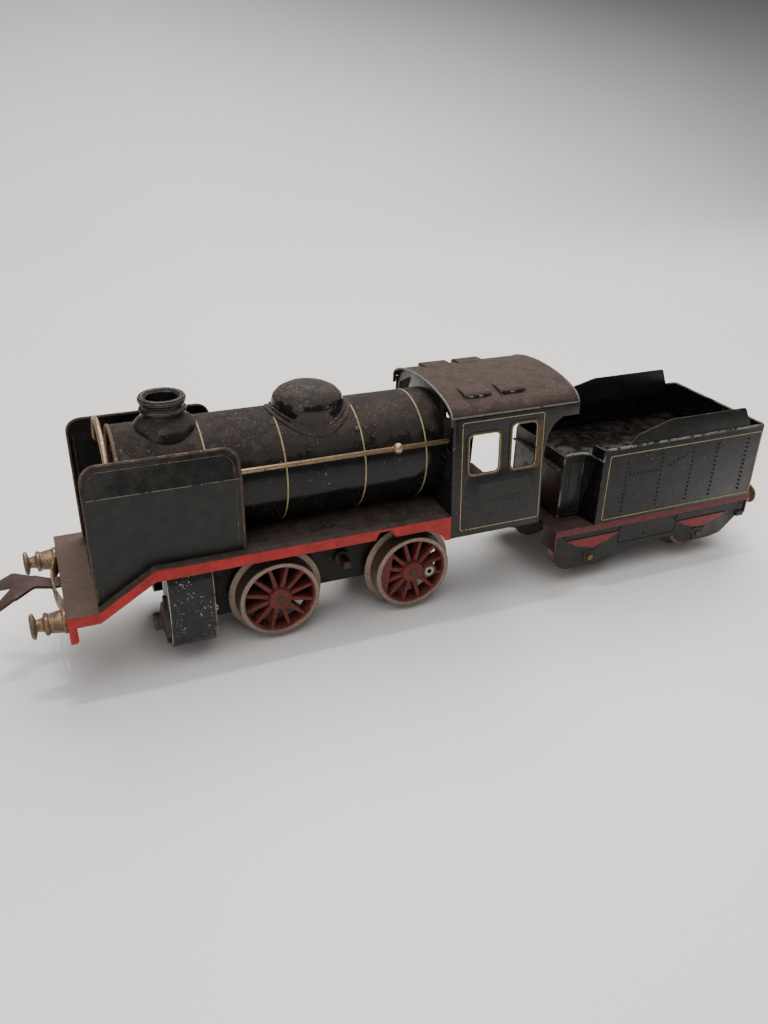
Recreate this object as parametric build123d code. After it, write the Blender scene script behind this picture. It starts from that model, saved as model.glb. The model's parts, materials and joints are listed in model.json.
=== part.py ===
from build123d import *
import math
import os

# Gauge 0 clockwork tin locomotive and its six-panel tender, millimetres, +Z up, front towards -X.
# Stations along X are measured from the rear driving axle and moved to the part's frame on export.
REAR_AXLE_X = -13.0

SHEET = 0.6
BACK_TO_BACK = 14.0
WHEEL_FACE = 21.4
FLANGE_WIDTH = 1.4
FLANGE_DEPTH = 2.5
FIT = 0.06

DRIVER_TREAD = 15.0
DRIVER_AXLE_Z = DRIVER_TREAD + FLANGE_DEPTH
FRONT_AXLE_X = -52.5
AXLE_R = 1.5
SPOKES = 12
CRANK_THROW = 6.9
CRANK_ANGLE = -8.0
EYELET_R = 1.6
EYELET_BORE = 0.9

TENDER_TREAD = 9.0
TENDER_AXLE_Z = TENDER_TREAD + FLANGE_DEPTH
TENDER_AXLES = {"front": 77.0, "rear": 133.0}
TENDER_AXLE_R = 1.2

BOARD_Z = 43.0
BOARD_HALF = 28.8
BOARD_REAR = 11.2
DECK_Z = 31.5
DECK_FRONT = -124.5
RAMP_START = -114.4
RAMP_END = -95.7
VALANCE = 4.0

BOILER_R = 20.5
BOILER_Z = 61.9
BOILER_FRONT = -102.0
CAB_FRONT = 11.8
CAB_REAR = 49.6
CAB_BASE_Z = 33.5
CAB_TOP_Z = 80.0
CAB_BASE_HALF = 28.5
CAB_TOP_HALF = 25.2
CAB_FLOOR_Z = 34.0
ROOF_FRONT = 10.2
ROOF_REAR = 63.3
ROOF_HALF = 25.6
ROOF_RISE = 7.1
CHIMNEY_X = -84.0
CHIMNEY_BORE_R = 5.3
CHIMNEY_FLOOR_Z = 83.2
DOME_X = -34.0
RAIL_Y = 21.6
RAIL_Z = 70.2
RAIL_R = 0.9
KNOB_X = -8.0
KNOB_R = 1.9
CYLINDER_FRONT = -92.5
CYLINDER_REAR = -77.0
CYLINDER_Y = 21.3
CYLINDER_Z = 19.0
LEVER_Y = 8.0
BUFFER_Y = 21.0
FRONT_BUFFER_Z = 26.4
REAR_BUFFER_Z = 22.5

PLATE_IN = 11.0
PLATE_OUT = 12.0
MODULE = 0.5
ARBOR = (-26.0, 25.0)
IDLER = (-10.0, 25.8)
GOVERNOR = (-4.8, 34.9)
ARBOR_R = 2.0
IDLER_R = 1.0
GOVERNOR_R = 0.8
LUG_X = -33.0
LUG_Y = 18.7
SCREW_R = 1.0
PILLARS = ((-75.0, 14.0), (-73.0, 34.0), (-41.0, 33.0), (-38.5, 16.0), (6.5, 35.5))
CLICK_REACH = 8.2
CLICK_POST_R = 0.8

DRAWBAR_Z = 24.0
LOCO_PIN_X = 36.0
TENDER_PIN_X = 62.0
TENDER_FRONT = 59.0
TENDER_REAR = 157.5
TENDER_TOP = 26.5
TENDER_HALF = 28.0
TENDER_WALL_TOP = 59.0
TENDER_NOSE_TOP = 54.3
TENDER_NOSE_HALF = 18.0
TENDER_NOSE_X = 66.0
PIN_R = 1.5
FRONT_HOOK_PIVOT = -112.0
REAR_HOOK_PIVOT = 146.0

# Each cab window: its opening, its corner radius and the outer edge of its pressed frame, as x, x, z, z.
CAB_WINDOWS = (
    ((17.9, 30.3, 57.8, 72.8), 1.6, (17.0, 31.2, 56.9, 73.7)),
    ((35.4, 45.7, 57.6, 74.9), 1.8, (34.5, 48.5, 56.7, 75.8)),
)
ROOF_VENTS = ((18.2, 29.0), (32.6, 43.2))

DIRECTION = {"X": (1, 0, 0), "Y": (0, 1, 0), "Z": (0, 0, 1)}


# ---- small helpers -------------------------------------------------------------------------


def place(axis, along, a, b):
    """A point at `along` on the axis, with the two other coordinates in X, Y, Z order."""
    return {"X": (along, a, b), "Y": (a, along, b), "Z": (a, b, along)}[axis]


def prism(points, start, end, axis):
    """A straight prism: the outline drawn across the axis, from start to end along it."""
    outline = Polyline(*[place(axis, start, a, b) for a, b in points], close=True)
    return extrude(make_face(outline), amount=end - start, dir=DIRECTION[axis])


def soft_prism(points, radii, start, end, axis):
    """A prism whose outline has its corners rounded, one radius per point."""
    corners = [place(axis, start, a, b) for a, b in points]
    outline = FilletPolyline(*corners, radius=radii, close=True)
    return extrude(make_face(outline), amount=end - start, dir=DIRECTION[axis])


def box(x0, x1, y0, y1, z0, z1):
    return Pos((x0 + x1) / 2, (y0 + y1) / 2, (z0 + z1) / 2) * Box(x1 - x0, y1 - y0, z1 - z0)


def rod(axis, start, end, a, b, radius):
    """A round bar along the axis between two stations, centred on the two other coordinates."""
    turned = {"X": (0, 90, 0), "Y": (90, 0, 0), "Z": (0, 0, 0)}[axis]
    centre = place(axis, (start + end) / 2, a, b)
    return Pos(*centre) * Rot(*turned) * Cylinder(radius, abs(end - start))


def turned(axis, profile, a, b):
    """A turned piece: (radius, station) points spun about a line along the axis."""
    if axis == "X":
        points = [(s, a, b + r) for r, s in profile]
        line = Axis((0, a, b), (1, 0, 0))
    elif axis == "Y":
        points = [(a, s, b + r) for r, s in profile]
        line = Axis((a, 0, b), (0, 1, 0))
    else:
        points = [(a + r, b, s) for r, s in profile]
        line = Axis((a, b, 0), (0, 0, 1))
    return revolve(make_face(Polyline(*points, close=True)), line, 360)


def other_side(shape):
    return mirror(shape, about=Plane.XZ)


def sheet_path(path, thickness):
    """The closed outline of a bent strip: the path, then the path again one thickness inside."""
    inner = []
    for index, (a, b) in enumerate(path):
        before = path[max(index - 1, 0)]
        after = path[min(index + 1, len(path) - 1)]
        da, db = after[0] - before[0], after[1] - before[1]
        length = math.hypot(da, db)
        inner.append((a + thickness * db / length, b - thickness * da / length))
    return list(path) + inner[::-1]


# ---- running board and front end -----------------------------------------------------------


def board_path(drop=0.0):
    return [
        (DECK_FRONT, DECK_Z - drop),
        (RAMP_START, DECK_Z - drop),
        (RAMP_END, BOARD_Z - drop),
        (BOARD_REAR, BOARD_Z - drop),
    ]


def running_board():
    top = prism(board_path() + board_path(SHEET)[::-1], -BOARD_HALF, BOARD_HALF, "Y")
    skirt = prism(board_path() + board_path(VALANCE)[::-1], BOARD_HALF - SHEET, BOARD_HALF, "Y")
    gusset = prism(
        [(1.0, BOARD_Z), (1.0, 39.0), (4.6, 37.9), (7.4, 35.8), (9.0, 33.4), (BOARD_REAR, 33.4),
         (BOARD_REAR, BOARD_Z)],
        BOARD_HALF - SHEET, BOARD_HALF, "Y")
    notch = soft_prism([(-19.2, 38.0), (-17.4, 42.0), (-12.4, 42.0), (-10.6, 38.0)],
                       [0.3, 1.6, 1.6, 0.3], BOARD_HALF - 2, BOARD_HALF + 2, "Y")
    skirt = skirt + gusset - notch
    board = top + skirt + other_side(skirt)
    for side in (-1, 1):
        board -= rod("Z", 40, 45, LUG_X, side * LUG_Y, SCREW_R)
    return board


def buffer_beam():
    """The front beam: a plate under the deck with a rounded return at each end, slotted for the hook."""
    top = DECK_Z - SHEET
    inner_half = BOARD_HALF - SHEET
    plate = box(DECK_FRONT, DECK_FRONT + SHEET, -inner_half, inner_half, 21.6, top)
    plate += box(DECK_FRONT, DECK_FRONT + SHEET, -BOARD_HALF, BOARD_HALF, 21.6, DECK_Z - VALANCE)
    plate -= box(DECK_FRONT - 1, DECK_FRONT + 1, -7.5, 7.5, 26.5, 30.2)
    tab = soft_prism([(DECK_FRONT, 21.6), (DECK_FRONT + 2.7, 21.6), (DECK_FRONT + 2.7, 27.4),
                      (DECK_FRONT, 27.4)], [0.2, 1.2, 0.2, 0.2], 28.2, BOARD_HALF, "Y")
    plate += tab + other_side(tab)
    for side in (-1, 1):
        plate -= rod("X", DECK_FRONT - 1, DECK_FRONT + 1, side * BUFFER_Y, FRONT_BUFFER_Z, 1.5)
    return plate


def buffer(tip, root, side, height):
    """A turned brass buffer: flanged foot, tapered barrel, ring, neck and dished head."""
    def at(share):
        return root + (tip - root) * share

    profile = [(0, at(-0.18)), (1.5, at(-0.18)), (1.5, at(0)), (4.3, at(0)), (4.3, at(0.08)),
               (3.9, at(0.12)), (3.3, at(0.47)), (3.8, at(0.5)), (3.8, at(0.59)), (2.4, at(0.63)),
               (2.0, at(0.8)), (4.2, at(0.86)), (4.4, at(0.92)), (3.6, at(0.98)), (0, at(1))]
    return turned("X", profile, side * BUFFER_Y, height)


def coupler_guide():
    """The bowed strip in front of the beam that the coupling hook swings in."""
    front = DECK_FRONT
    half, inner_half, bottom = 16.0, 15.0, 24.0
    outer = make_face([ThreePointArc((front, -half, bottom), (front - 3.0, 0, bottom), (front, half, bottom)),
                       Line((front, half, bottom), (front, inner_half, bottom)),
                       ThreePointArc((front, inner_half, bottom), (front - 2.2, 0, bottom),
                                     (front, -inner_half, bottom)),
                       Line((front, -inner_half, bottom), (front, -half, bottom))])
    strip = extrude(outer, amount=7.0, dir=(0, 0, 1))
    return strip - box(front - 5, front + 1, -7.5, 7.5, 26.5, 30.2)


def coupling_hook(pivot, root, tip, height):
    """A flat S-bent tin hook: an eye on its pin, a narrow neck, and a forked head."""
    out = -1 if tip < root else 1
    reach = abs(tip - root)

    def at(distance):
        return root + out * distance

    plan = [(pivot, 3.0), (at(4), 3.0), (at(9), 3.9), (at(reach * 0.66), 8.4), (at(reach), 9.4),
            (at(reach - 1.2), 4.6), (at(reach - 6.5), 0.0), (at(reach - 1.2), -4.6), (at(reach), -9.4),
            (at(reach * 0.66), -8.4), (at(9), -3.9), (at(4), -3.0), (pivot, -3.0)]
    path = [(pivot - out * 4, height), (at(3), height), (at(8), height + 1.7),
            (at(reach * 0.7), height + 1.2), (at(reach), height - 2.2)]
    if out > 0:
        path = path[::-1]
    ribbon = prism(sheet_path(path, 1.1), -12, 12, "Y")
    hook = ribbon & prism(plan, height - 8, height + 8, "Z")
    eye = rod("Z", height, height + 1.1, pivot, 0, 3.0)
    bore = rod("Z", height - 2, height + 3, pivot, 0, PIN_R + FIT)
    return hook + eye - bore


def hook_pin(x, bottom, top):
    """A headed rivet under the sheet, the pivot of a coupling hook."""
    head = rod("Z", bottom, bottom + 0.8, x, 0, 2.6)
    return head + rod("Z", bottom, top, x, 0, PIN_R)


# ---- boiler, chimney, dome, deflectors, handrail -------------------------------------------


def boiler_space():
    return rod("X", BOILER_FRONT - 5, CAB_FRONT + 5, 0, BOILER_Z, BOILER_R)


def boiler_barrel():
    tube = rod("X", BOILER_FRONT, CAB_FRONT, 0, BOILER_Z, BOILER_R)
    tube -= rod("X", BOILER_FRONT - 1, CAB_FRONT + 1, 0, BOILER_Z, BOILER_R - SHEET)
    return tube - box(BOILER_FRONT - 1, CAB_FRONT + 1, -30, 30, 30, BOARD_Z)


def smokebox_door():
    """The pressed front plate, set 1 mm inside the boiler, with a domed door and its handle."""
    face = BOILER_FRONT + 1.0
    profile = [(0, face - 2.2), (6, face - 1.9), (12.5, face - 0.9), (13.5, face - 0.9),
               (13.9, face), (BOILER_R - SHEET, face), (BOILER_R - SHEET, face + SHEET),
               (13.3, face + SHEET), (0, face - 1.4)]
    plate = turned("X", profile, 0, BOILER_Z)
    plate += rod("X", face - 3.4, face - 1.8, 0, BOILER_Z, 1.2)
    return plate - box(face - 5, face + 5, -30, 30, 30, BOARD_Z)


def chimney():
    """A casting: flared skirt on the boiler, short neck with a bead, thick rim and a flat-bottomed bore."""
    profile = [(0, 77.0), (12.0, 77.0), (11.6, 79.4), (10.7, 82.0), (9.1, 83.8), (7.7, 85.0), (7.0, 86.2),
               (6.9, 86.7), (7.6, 86.9), (7.9, 87.4), (7.6, 87.9), (6.9, 88.1), (6.9, 89.3), (7.5, 89.6),
               (7.9, 90.3), (7.9, 91.1), (7.4, 91.9), (6.4, 91.9), (5.8, 91.4),
               (CHIMNEY_BORE_R, 91.0), (CHIMNEY_BORE_R, CHIMNEY_FLOOR_Z), (0, CHIMNEY_FLOOR_Z)]
    return turned("Z", profile, CHIMNEY_X, 0) - boiler_space()


def steam_dome():
    """A pressed cap whose brim lies along the boiler."""
    profile = [(0, 90.4), (4.0, 90.2), (7.5, 89.5), (10.4, 88.0), (12.2, 86.0), (12.9, 84.0), (12.7, 82.0),
               (12.7, 74.0), (0, 74.0)]
    dome = turned("Z", profile, DOME_X, 0)
    for brim_r, thickness in ((13.7, 1.1), (15.2, 0.45)):
        brim = rod("Z", 70, 88, DOME_X, 0, brim_r)
        dome += brim & rod("X", DOME_X - 20, DOME_X + 20, 0, BOILER_Z, BOILER_R + thickness)
    return dome - boiler_space()


def smoke_deflector():
    """One upright sheet: its foot follows deck, ramp and board, its top leans in and is rounded."""
    section = [(24.9, 31.0), (24.9, 69.5), (21.3, 79.2), (20.7, 79.0), (24.3, 69.3), (24.3, 31.0)]
    outline = [(-114.2, 31.7), (RAMP_END, BOARD_Z + 0.05), (-64.8, BOARD_Z + 0.05), (-64.8, 79.2),
               (-114.2, 79.2)]
    face = soft_prism(outline, [0.2, 0.2, 0.2, 5.0, 5.0], 20, 26, "Y")
    return prism(section, -116, -62, "X") & face


def handrail_wire():
    """One bent wire: along both flanks of the boiler and up over the smokebox as an arch."""
    bend, front = 2.5, -105.3
    rise = RAIL_Z - BOILER_Z
    reach = math.hypot(RAIL_Y, rise)
    foot = math.atan2(rise, RAIL_Y) + math.asin(bend / reach)
    arch_r = RAIL_Y * math.cos(foot) + rise * math.sin(foot)
    arch_y, arch_z = arch_r * math.cos(foot), BOILER_Z + arch_r * math.sin(foot)
    quarter = bend * math.sqrt(0.5)
    half_y = RAIL_Y - (bend - quarter) * math.sin(foot)
    half_z = RAIL_Z + (bend - quarter) * math.cos(foot)

    def flank(side):
        rear, corner = (CAB_FRONT, side * RAIL_Y, RAIL_Z), (front + bend, side * RAIL_Y, RAIL_Z)
        middle = (front + bend - quarter, side * half_y, half_z)
        return Line(rear, corner), ThreePointArc(corner, middle, (front, side * arch_y, arch_z))

    near, near_bend = flank(-1)
    far, far_bend = flank(1)
    arch = ThreePointArc((front, -arch_y, arch_z), (front, 0, BOILER_Z + arch_r), (front, arch_y, arch_z))
    section = Plane(origin=(CAB_FRONT, -RAIL_Y, RAIL_Z), z_dir=(-1, 0, 0)) * Circle(RAIL_R)
    return sweep(section, path=Wire([near, near_bend, arch, far_bend, far]))


def handrail_knobs():
    """A ball on a short stem each side, bored for the wire."""
    tilt = math.degrees(math.atan2(RAIL_Z - BOILER_Z, RAIL_Y))
    radius = math.hypot(RAIL_Y, RAIL_Z - BOILER_Z)
    knob = Pos(KNOB_X, RAIL_Y, RAIL_Z) * Rot(0, 90, 0) * Sphere(KNOB_R)
    inner, outer = BOILER_R - 0.5, radius - RAIL_R - 0.4
    mid = (inner + outer) / 2
    direction = math.radians(tilt)
    centre = (KNOB_X, mid * math.cos(direction), BOILER_Z + mid * math.sin(direction))
    knob += Pos(*centre) * Rot(tilt - 90, 0, 0) * Cylinder(0.9, outer - inner)
    knob -= boiler_space()
    knob -= rod("X", KNOB_X - 4, KNOB_X + 4, RAIL_Y, RAIL_Z, RAIL_R + 0.02)
    return [knob, other_side(knob)]


# ---- cylinders -----------------------------------------------------------------------------


def cylinder():
    """A folded tin cylinder block with rounded shoulders, open towards the frames."""
    outline = [(15.0, 42.4), (22.0, 42.4), (25.4, 39.6), (27.3, 35.6), (28.1, 30.6), (27.9, 23.0),
               (27.2, 16.0), (25.6, 11.0), (22.5, 7.8), (15.0, 7.8)]
    inside = [(14.0, 41.8), (21.8, 41.8), (24.9, 39.2), (26.7, 35.4), (27.5, 30.6), (27.3, 23.0),
              (26.6, 16.3), (25.1, 11.5), (22.2, 8.4), (14.0, 8.4)]
    block = prism(outline, CYLINDER_FRONT, CYLINDER_REAR, "X")
    block -= prism(inside, CYLINDER_FRONT + SHEET, CYLINDER_REAR - SHEET, "X")
    return block - rod("X", CYLINDER_FRONT - 1, CYLINDER_FRONT + 1, CYLINDER_Y, CYLINDER_Z, 2.0)


def cylinder_cover():
    """The turned front cover with its stub gland and two small lugs, seated in the block's front."""
    profile = [(0, 4.9), (2.6, 4.9), (3.0, 4.4), (3.0, 2.5), (4.2, 2.1), (6.2, 1.4), (6.6, 0), (2.0, 0),
               (2.0, -SHEET), (0, -SHEET)]
    outline = [(radius, CYLINDER_FRONT - proud) for radius, proud in profile]
    cover = turned("X", outline, CYLINDER_Y, CYLINDER_Z)
    for low, high in ((9.8, 13.6), (24.4, 28.2)):
        cover += box(CYLINDER_FRONT - 1.1, CYLINDER_FRONT, CYLINDER_Y - 1.1, CYLINDER_Y + 1.1, low, high)
    return cover


# ---- cab -----------------------------------------------------------------------------------


def roof_section(offset=0.0):
    """The roof's half-ellipse from the right eave to the left, moved inward by the offset."""
    half, rise, steps = ROOF_HALF - offset, ROOF_RISE - offset, 32
    angles = [math.pi * step / steps for step in range(steps + 1)]
    return [(half * math.cos(angle), CAB_TOP_Z + rise * math.sin(angle)) for angle in angles]


def cab_body():
    """Front wall and both sides, leaning in towards the roof; the back is open."""
    def section(inset):
        base, top = CAB_BASE_HALF - inset, CAB_TOP_HALF - inset
        return [(-base, CAB_BASE_Z), (base, CAB_BASE_Z), (top, CAB_TOP_Z), (-top, CAB_TOP_Z)]

    shell = prism(section(0), CAB_FRONT, 64.0, "X")
    arch = [(y * 0.94, z) for y, z in roof_section(0.75)]
    shell += prism([(24.2, 79.0)] + arch + [(-24.2, 79.0)], CAB_FRONT, CAB_FRONT + SHEET, "X")
    shell -= prism(roof_section(-2.0) + roof_section(SHEET)[::-1], ROOF_FRONT - 1, ROOF_REAR + 2, "X")
    inside = prism([(y, z + (2 if z > 50 else -2)) for y, z in section(SHEET)],
                   CAB_FRONT + SHEET, 66.0, "X")
    shell -= inside
    rear = prism([(CAB_REAR, 30), (CAB_REAR, 61.0), (51.2, 69.0), (53.4, 72.6), (57.0, 75.0),
                  (66, 75.0), (66, 30)], -32, 32, "Y")
    shell -= rear
    for hole, radius, _ in CAB_WINDOWS:
        shell -= soft_prism(corners_of(hole), [radius] * 4, -32, 32, "Y")
    for side in (-1, 1):
        shell -= soft_prism([(side * 20.9, 66.0), (side * 24.0, 66.0), (side * 22.6, 78.0),
                             (side * 12.4, 83.4), (side * 12.4, 82.0)], [0.5] * 5, 10, 15, "X")
        shell -= box(10, 15, side * LEVER_Y - 1.5, side * LEVER_Y + 1.5, 36.9, 38.3)
        shell -= rod("X", 10, 13, side * RAIL_Y, RAIL_Z, 0.5)
    return shell


def corners_of(extent):
    x0, x1, z0, z1 = extent
    return [(x0, z0), (x1, z0), (x1, z1), (x0, z1)]


def cab_window_frames():
    """The pressed raised rims round the side windows."""
    frames = []
    for hole, radius, rim_box in CAB_WINDOWS:
        rim = soft_prism(corners_of(rim_box), [radius + 0.7] * 4, 20, 32, "Y")
        rim -= soft_prism(corners_of(hole), [radius] * 4, 19, 33, "Y")
        slope = (CAB_BASE_HALF - CAB_TOP_HALF) / (CAB_TOP_Z - CAB_BASE_Z)
        low = CAB_BASE_HALF - slope * (50 - CAB_BASE_Z)
        high = CAB_BASE_HALF - slope * (79.6 - CAB_BASE_Z)
        layer = prism([(low, 50), (low + 0.35, 50), (high + 0.35, 79.6), (high, 79.6)], 10, 60, "X")
        frame = rim & layer
        frames += [frame, other_side(frame)]
    return frames


def cab_roof():
    """The arched roof sheet with two louvred ventilators a side and a turned-down front rim."""
    sheet = prism(roof_section() + roof_section(SHEET)[::-1], ROOF_FRONT, ROOF_REAR, "X")
    for x0, x1 in ROOF_VENTS:
        hood = prism([(11.6, 86.35), (15.5, 86.5), (18.8, 86.2), (19.7, 85.6), (19.7, 84.1), (11.6, 85.9)],
                     x0, x1, "X")
        hood -= box(x0 + 1.0, x1 - 1.0, 18.7, 20.5, 84.75, 85.45)
        sheet += hood + other_side(hood)
    for side in (-1, 1):
        corner = [(side * 25.5, 80.4), (side * 25.6, 80.0), (side * 25.9, 77.0), (side * 25.5, 77.0),
                  (side * 25.05, 80.4)]
        sheet += prism(corner, ROOF_FRONT, ROOF_FRONT + 1.2, "X")
    return sheet


def cab_floor():
    floor = box(CAB_FRONT + SHEET, CAB_REAR + 0.6, -27.6, 27.6, CAB_FLOOR_Z, CAB_FLOOR_Z + SHEET)
    return floor - rod("Z", 30, 40, LOCO_PIN_X, 0, PIN_R)


def cab_lever(side):
    """A flat rod with a turned-up thumb piece, sliding through the cab front into the motor."""
    y = side * LEVER_Y
    rod_strip = box(2.5, 54.0, y - 1.2, y + 1.2, 37.2, 38.0)
    thumb = soft_prism([(53.2, 37.2), (54.0, 37.2), (54.0, 44.5), (53.2, 44.5)],
                       [0.1, 0.1, 0.3, 0.3], y - 2.4, y + 2.4, "Y")
    return rod_strip + thumb


# ---- clockwork -----------------------------------------------------------------------------


def motor_plate():
    outline = [(-79, 10), (-79, 42.4), (-70, 42.4), (-70, 40), (-37, 40), (-37, 42.4), (-29, 42.4),
               (-29, 40), (10, 40), (10, 13), (6, 9), (-7, 9), (-15, 14.5), (-35, 14.5), (-44, 9.5),
               (-60, 9.5), (-66, 10)]
    plate = prism(outline, PLATE_IN, PLATE_OUT, "Y")
    plate += box(-37, -29, PLATE_OUT, 21.9, 41.4, 42.4)
    plate -= rod("Z", 40, 44, LUG_X, LUG_Y, SCREW_R)
    for (x, z), radius in ((ARBOR, ARBOR_R), (IDLER, IDLER_R), (GOVERNOR, GOVERNOR_R),
                           ((0, DRIVER_AXLE_Z), AXLE_R), ((FRONT_AXLE_X, DRIVER_AXLE_Z), AXLE_R)):
        plate -= rod("Y", PLATE_IN - 1, PLATE_OUT + 1, x, z, radius + FIT)
    for x, z in PILLARS:
        plate -= rod("Y", PLATE_IN - 1, PLATE_OUT + 1, x, z, 0.9)
    return plate


def motor_pillars():
    return [rod("Y", -PLATE_IN, PLATE_IN, x, z, 1.4) for x, z in PILLARS]


def motor_screws():
    """Cheese-head screws that hold the plates to the pillars, one at each end."""
    screws = []
    for x, z in PILLARS:
        head = rod("Y", PLATE_OUT, PLATE_OUT + 0.9, x, z, 1.7)
        head -= box(x - 2, x + 2, PLATE_OUT + 0.5, PLATE_OUT + 1, z - 0.25, z + 0.25)
        head += rod("Y", PLATE_IN, PLATE_OUT, x, z, 0.9)
        screws += [head, other_side(head)]
    return screws


def board_screws():
    """Screws through the board into the motor's lugs."""
    screws = []
    for side in (-1, 1):
        y = side * LUG_Y
        head = rod("Z", BOARD_Z, BOARD_Z + 0.9, LUG_X, y, 1.9)
        head -= box(LUG_X - 2, LUG_X + 2, y - 0.25, y + 0.25, BOARD_Z + 0.5, BOARD_Z + 2)
        screws.append(head + rod("Z", 40.2, BOARD_Z, LUG_X, y, SCREW_R))
    return screws


def gear(teeth, centre, y0, y1, phase, bore):
    """A flat wheel with shallow straight-sided teeth, its first tooth at the phase angle."""
    pitch_r = MODULE * teeth / 2
    tip = pitch_r + 0.62 * MODULE
    root = pitch_r - 0.95 * MODULE
    step = 2 * math.pi / teeth
    points = []
    for tooth in range(teeth):
        middle = phase + tooth * step
        for radius, share in ((root, -0.30), (tip, -0.12), (tip, 0.12), (root, 0.30)):
            angle = middle + share * step
            points.append((centre[0] + radius * math.cos(angle), centre[1] + radius * math.sin(angle)))
    wheel = prism(points, y0, y1, "Y")
    if bore:
        wheel -= rod("Y", y0 - 1, y1 + 1, centre[0], centre[1], bore)
    return wheel


def meshing_phase(teeth, centre, with_teeth, with_centre, with_phase):
    """The phase that puts a gap of this wheel opposite a tooth of the wheel it meshes with."""
    heading = math.atan2(centre[1] - with_centre[1], centre[0] - with_centre[0])
    step = 2 * math.pi / with_teeth
    lag = (with_phase - heading) % step
    half_pitch = math.pi * MODULE / 2
    slip = (lag * MODULE * with_teeth / 2 + half_pitch) / (MODULE * teeth / 2)
    return heading + math.pi - slip


GREAT_TEETH, IDLER_PINION, IDLER_TEETH, AXLE_TEETH, GOVERNOR_PINION = 52, 12, 32, 20, 10
IDLER_PHASE = 0.0
REAR_AXLE = (0.0, DRIVER_AXLE_Z)
GREAT_PHASE = meshing_phase(GREAT_TEETH, ARBOR, IDLER_PINION, IDLER, IDLER_PHASE)
AXLE_PHASE = meshing_phase(AXLE_TEETH, REAR_AXLE, IDLER_TEETH, IDLER, IDLER_PHASE)
GOVERNOR_PHASE = meshing_phase(GOVERNOR_PINION, GOVERNOR, IDLER_TEETH, IDLER, IDLER_PHASE)


def great_wheel():
    """The first wheel, free on the winding arbor, with the pivot post of its click."""
    wheel = gear(GREAT_TEETH, ARBOR, 7.6, 9.0, GREAT_PHASE, ARBOR_R + FIT)
    for spoke in range(5):
        angle = math.radians(72 * spoke + 54)
        x, z = ARBOR[0] + CLICK_REACH * math.cos(angle), ARBOR[1] + CLICK_REACH * math.sin(angle)
        wheel -= rod("Y", 7, 10, x, z, 2.3)
    return wheel + rod("Y", 9.0, 10.7, ARBOR[0] + CLICK_REACH, ARBOR[1], CLICK_POST_R)


def ratchet_click():
    """The pawl that lets the arbor turn one way only, on its post on the great wheel."""
    x, z = ARBOR[0] + CLICK_REACH, ARBOR[1]
    arm = prism([(x + 1.4, z - 1.4), (x + 1.4, z + 1.4), (x - 1.0, z + 1.6), (x - 5.0, z + 4.4),
                 (x - 5.9, z + 4.0), (x - 1.6, z - 1.2)], 9.3, 10.3, "Y")
    return arm - rod("Y", 9, 11, x, z, CLICK_POST_R + FIT)


def winding_arbor():
    """The square-ended key shaft with its ratchet wheel and spring hub."""
    x, z = ARBOR
    shaft = rod("Y", -PLATE_OUT - 0.6, PLATE_OUT + 1.2, x, z, ARBOR_R)
    square = box(x - 1.45, x + 1.45, -19.5, -PLATE_OUT - 0.6, z - 1.45, z + 1.45)
    collar = rod("Y", -PLATE_OUT - 1.8, -PLATE_OUT - 0.4, x, z, 2.8)
    points = []
    for tooth in range(14):
        angle = 2 * math.pi * tooth / 14
        points.append((x + 3.9 * math.cos(angle), z + 3.9 * math.sin(angle)))
        angle += 2 * math.pi * 0.12 / 14
        points.append((x + 3.1 * math.cos(angle), z + 3.1 * math.sin(angle)))
    ratchet = prism(points, 9.2, 10.5, "Y")
    return shaft + square + collar + ratchet


def mainspring():
    """A flat spiral strip, hooked to a frame pillar at its outer end."""
    turns, inner_r, outer_r, strip = 7, 3.0, 11.2, 0.4
    samples = turns * 16

    def spiral(offset):
        points = []
        for index in range(samples + 1):
            share = index / samples
            radius = inner_r + (outer_r - inner_r) * share + offset
            angle = 2 * math.pi * turns * share + math.radians(150)
            points.append((ARBOR[0] + radius * math.cos(angle), -5.0, ARBOR[1] + radius * math.sin(angle)))
        return points

    inside, outside = spiral(0), spiral(strip)
    face = make_face([Spline(*inside), Line(inside[-1], outside[-1]), Spline(*outside),
                      Line(outside[0], inside[0])])
    return extrude(face, amount=10.0, dir=(0, 1, 0))


def intermediate_gear():
    shaft = rod("Y", -PLATE_OUT - 0.5, PLATE_OUT + 0.5, *IDLER, IDLER_R)
    pinion = gear(IDLER_PINION, IDLER, 6.8, 9.8, IDLER_PHASE, 0)
    wheel = gear(IDLER_TEETH, IDLER, -9.0, -8.0, IDLER_PHASE, 0)
    return shaft + pinion + wheel


def governor_spindle():
    """The speed governor: a light spindle with its pinion and two weighted arms."""
    spindle = rod("Y", -PLATE_OUT - 0.4, PLATE_OUT + 0.4, *GOVERNOR, GOVERNOR_R)
    pinion = gear(GOVERNOR_PINION, GOVERNOR, -9.4, -7.6, GOVERNOR_PHASE, 0)
    arm = box(GOVERNOR[0] - 3.2, GOVERNOR[0] + 3.2, 1.0, 2.0, GOVERNOR[1] - 0.7, GOVERNOR[1] + 0.7)
    weights = [rod("Y", 0.2, 2.8, GOVERNOR[0] + reach, GOVERNOR[1], 1.1) for reach in (-2.7, 2.7)]
    return spindle + pinion + arm + weights[0] + weights[1]


def axle_gear():
    return gear(AXLE_TEETH, REAR_AXLE, -9.1, -7.9, AXLE_PHASE, AXLE_R)


# ---- wheels --------------------------------------------------------------------------------


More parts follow.
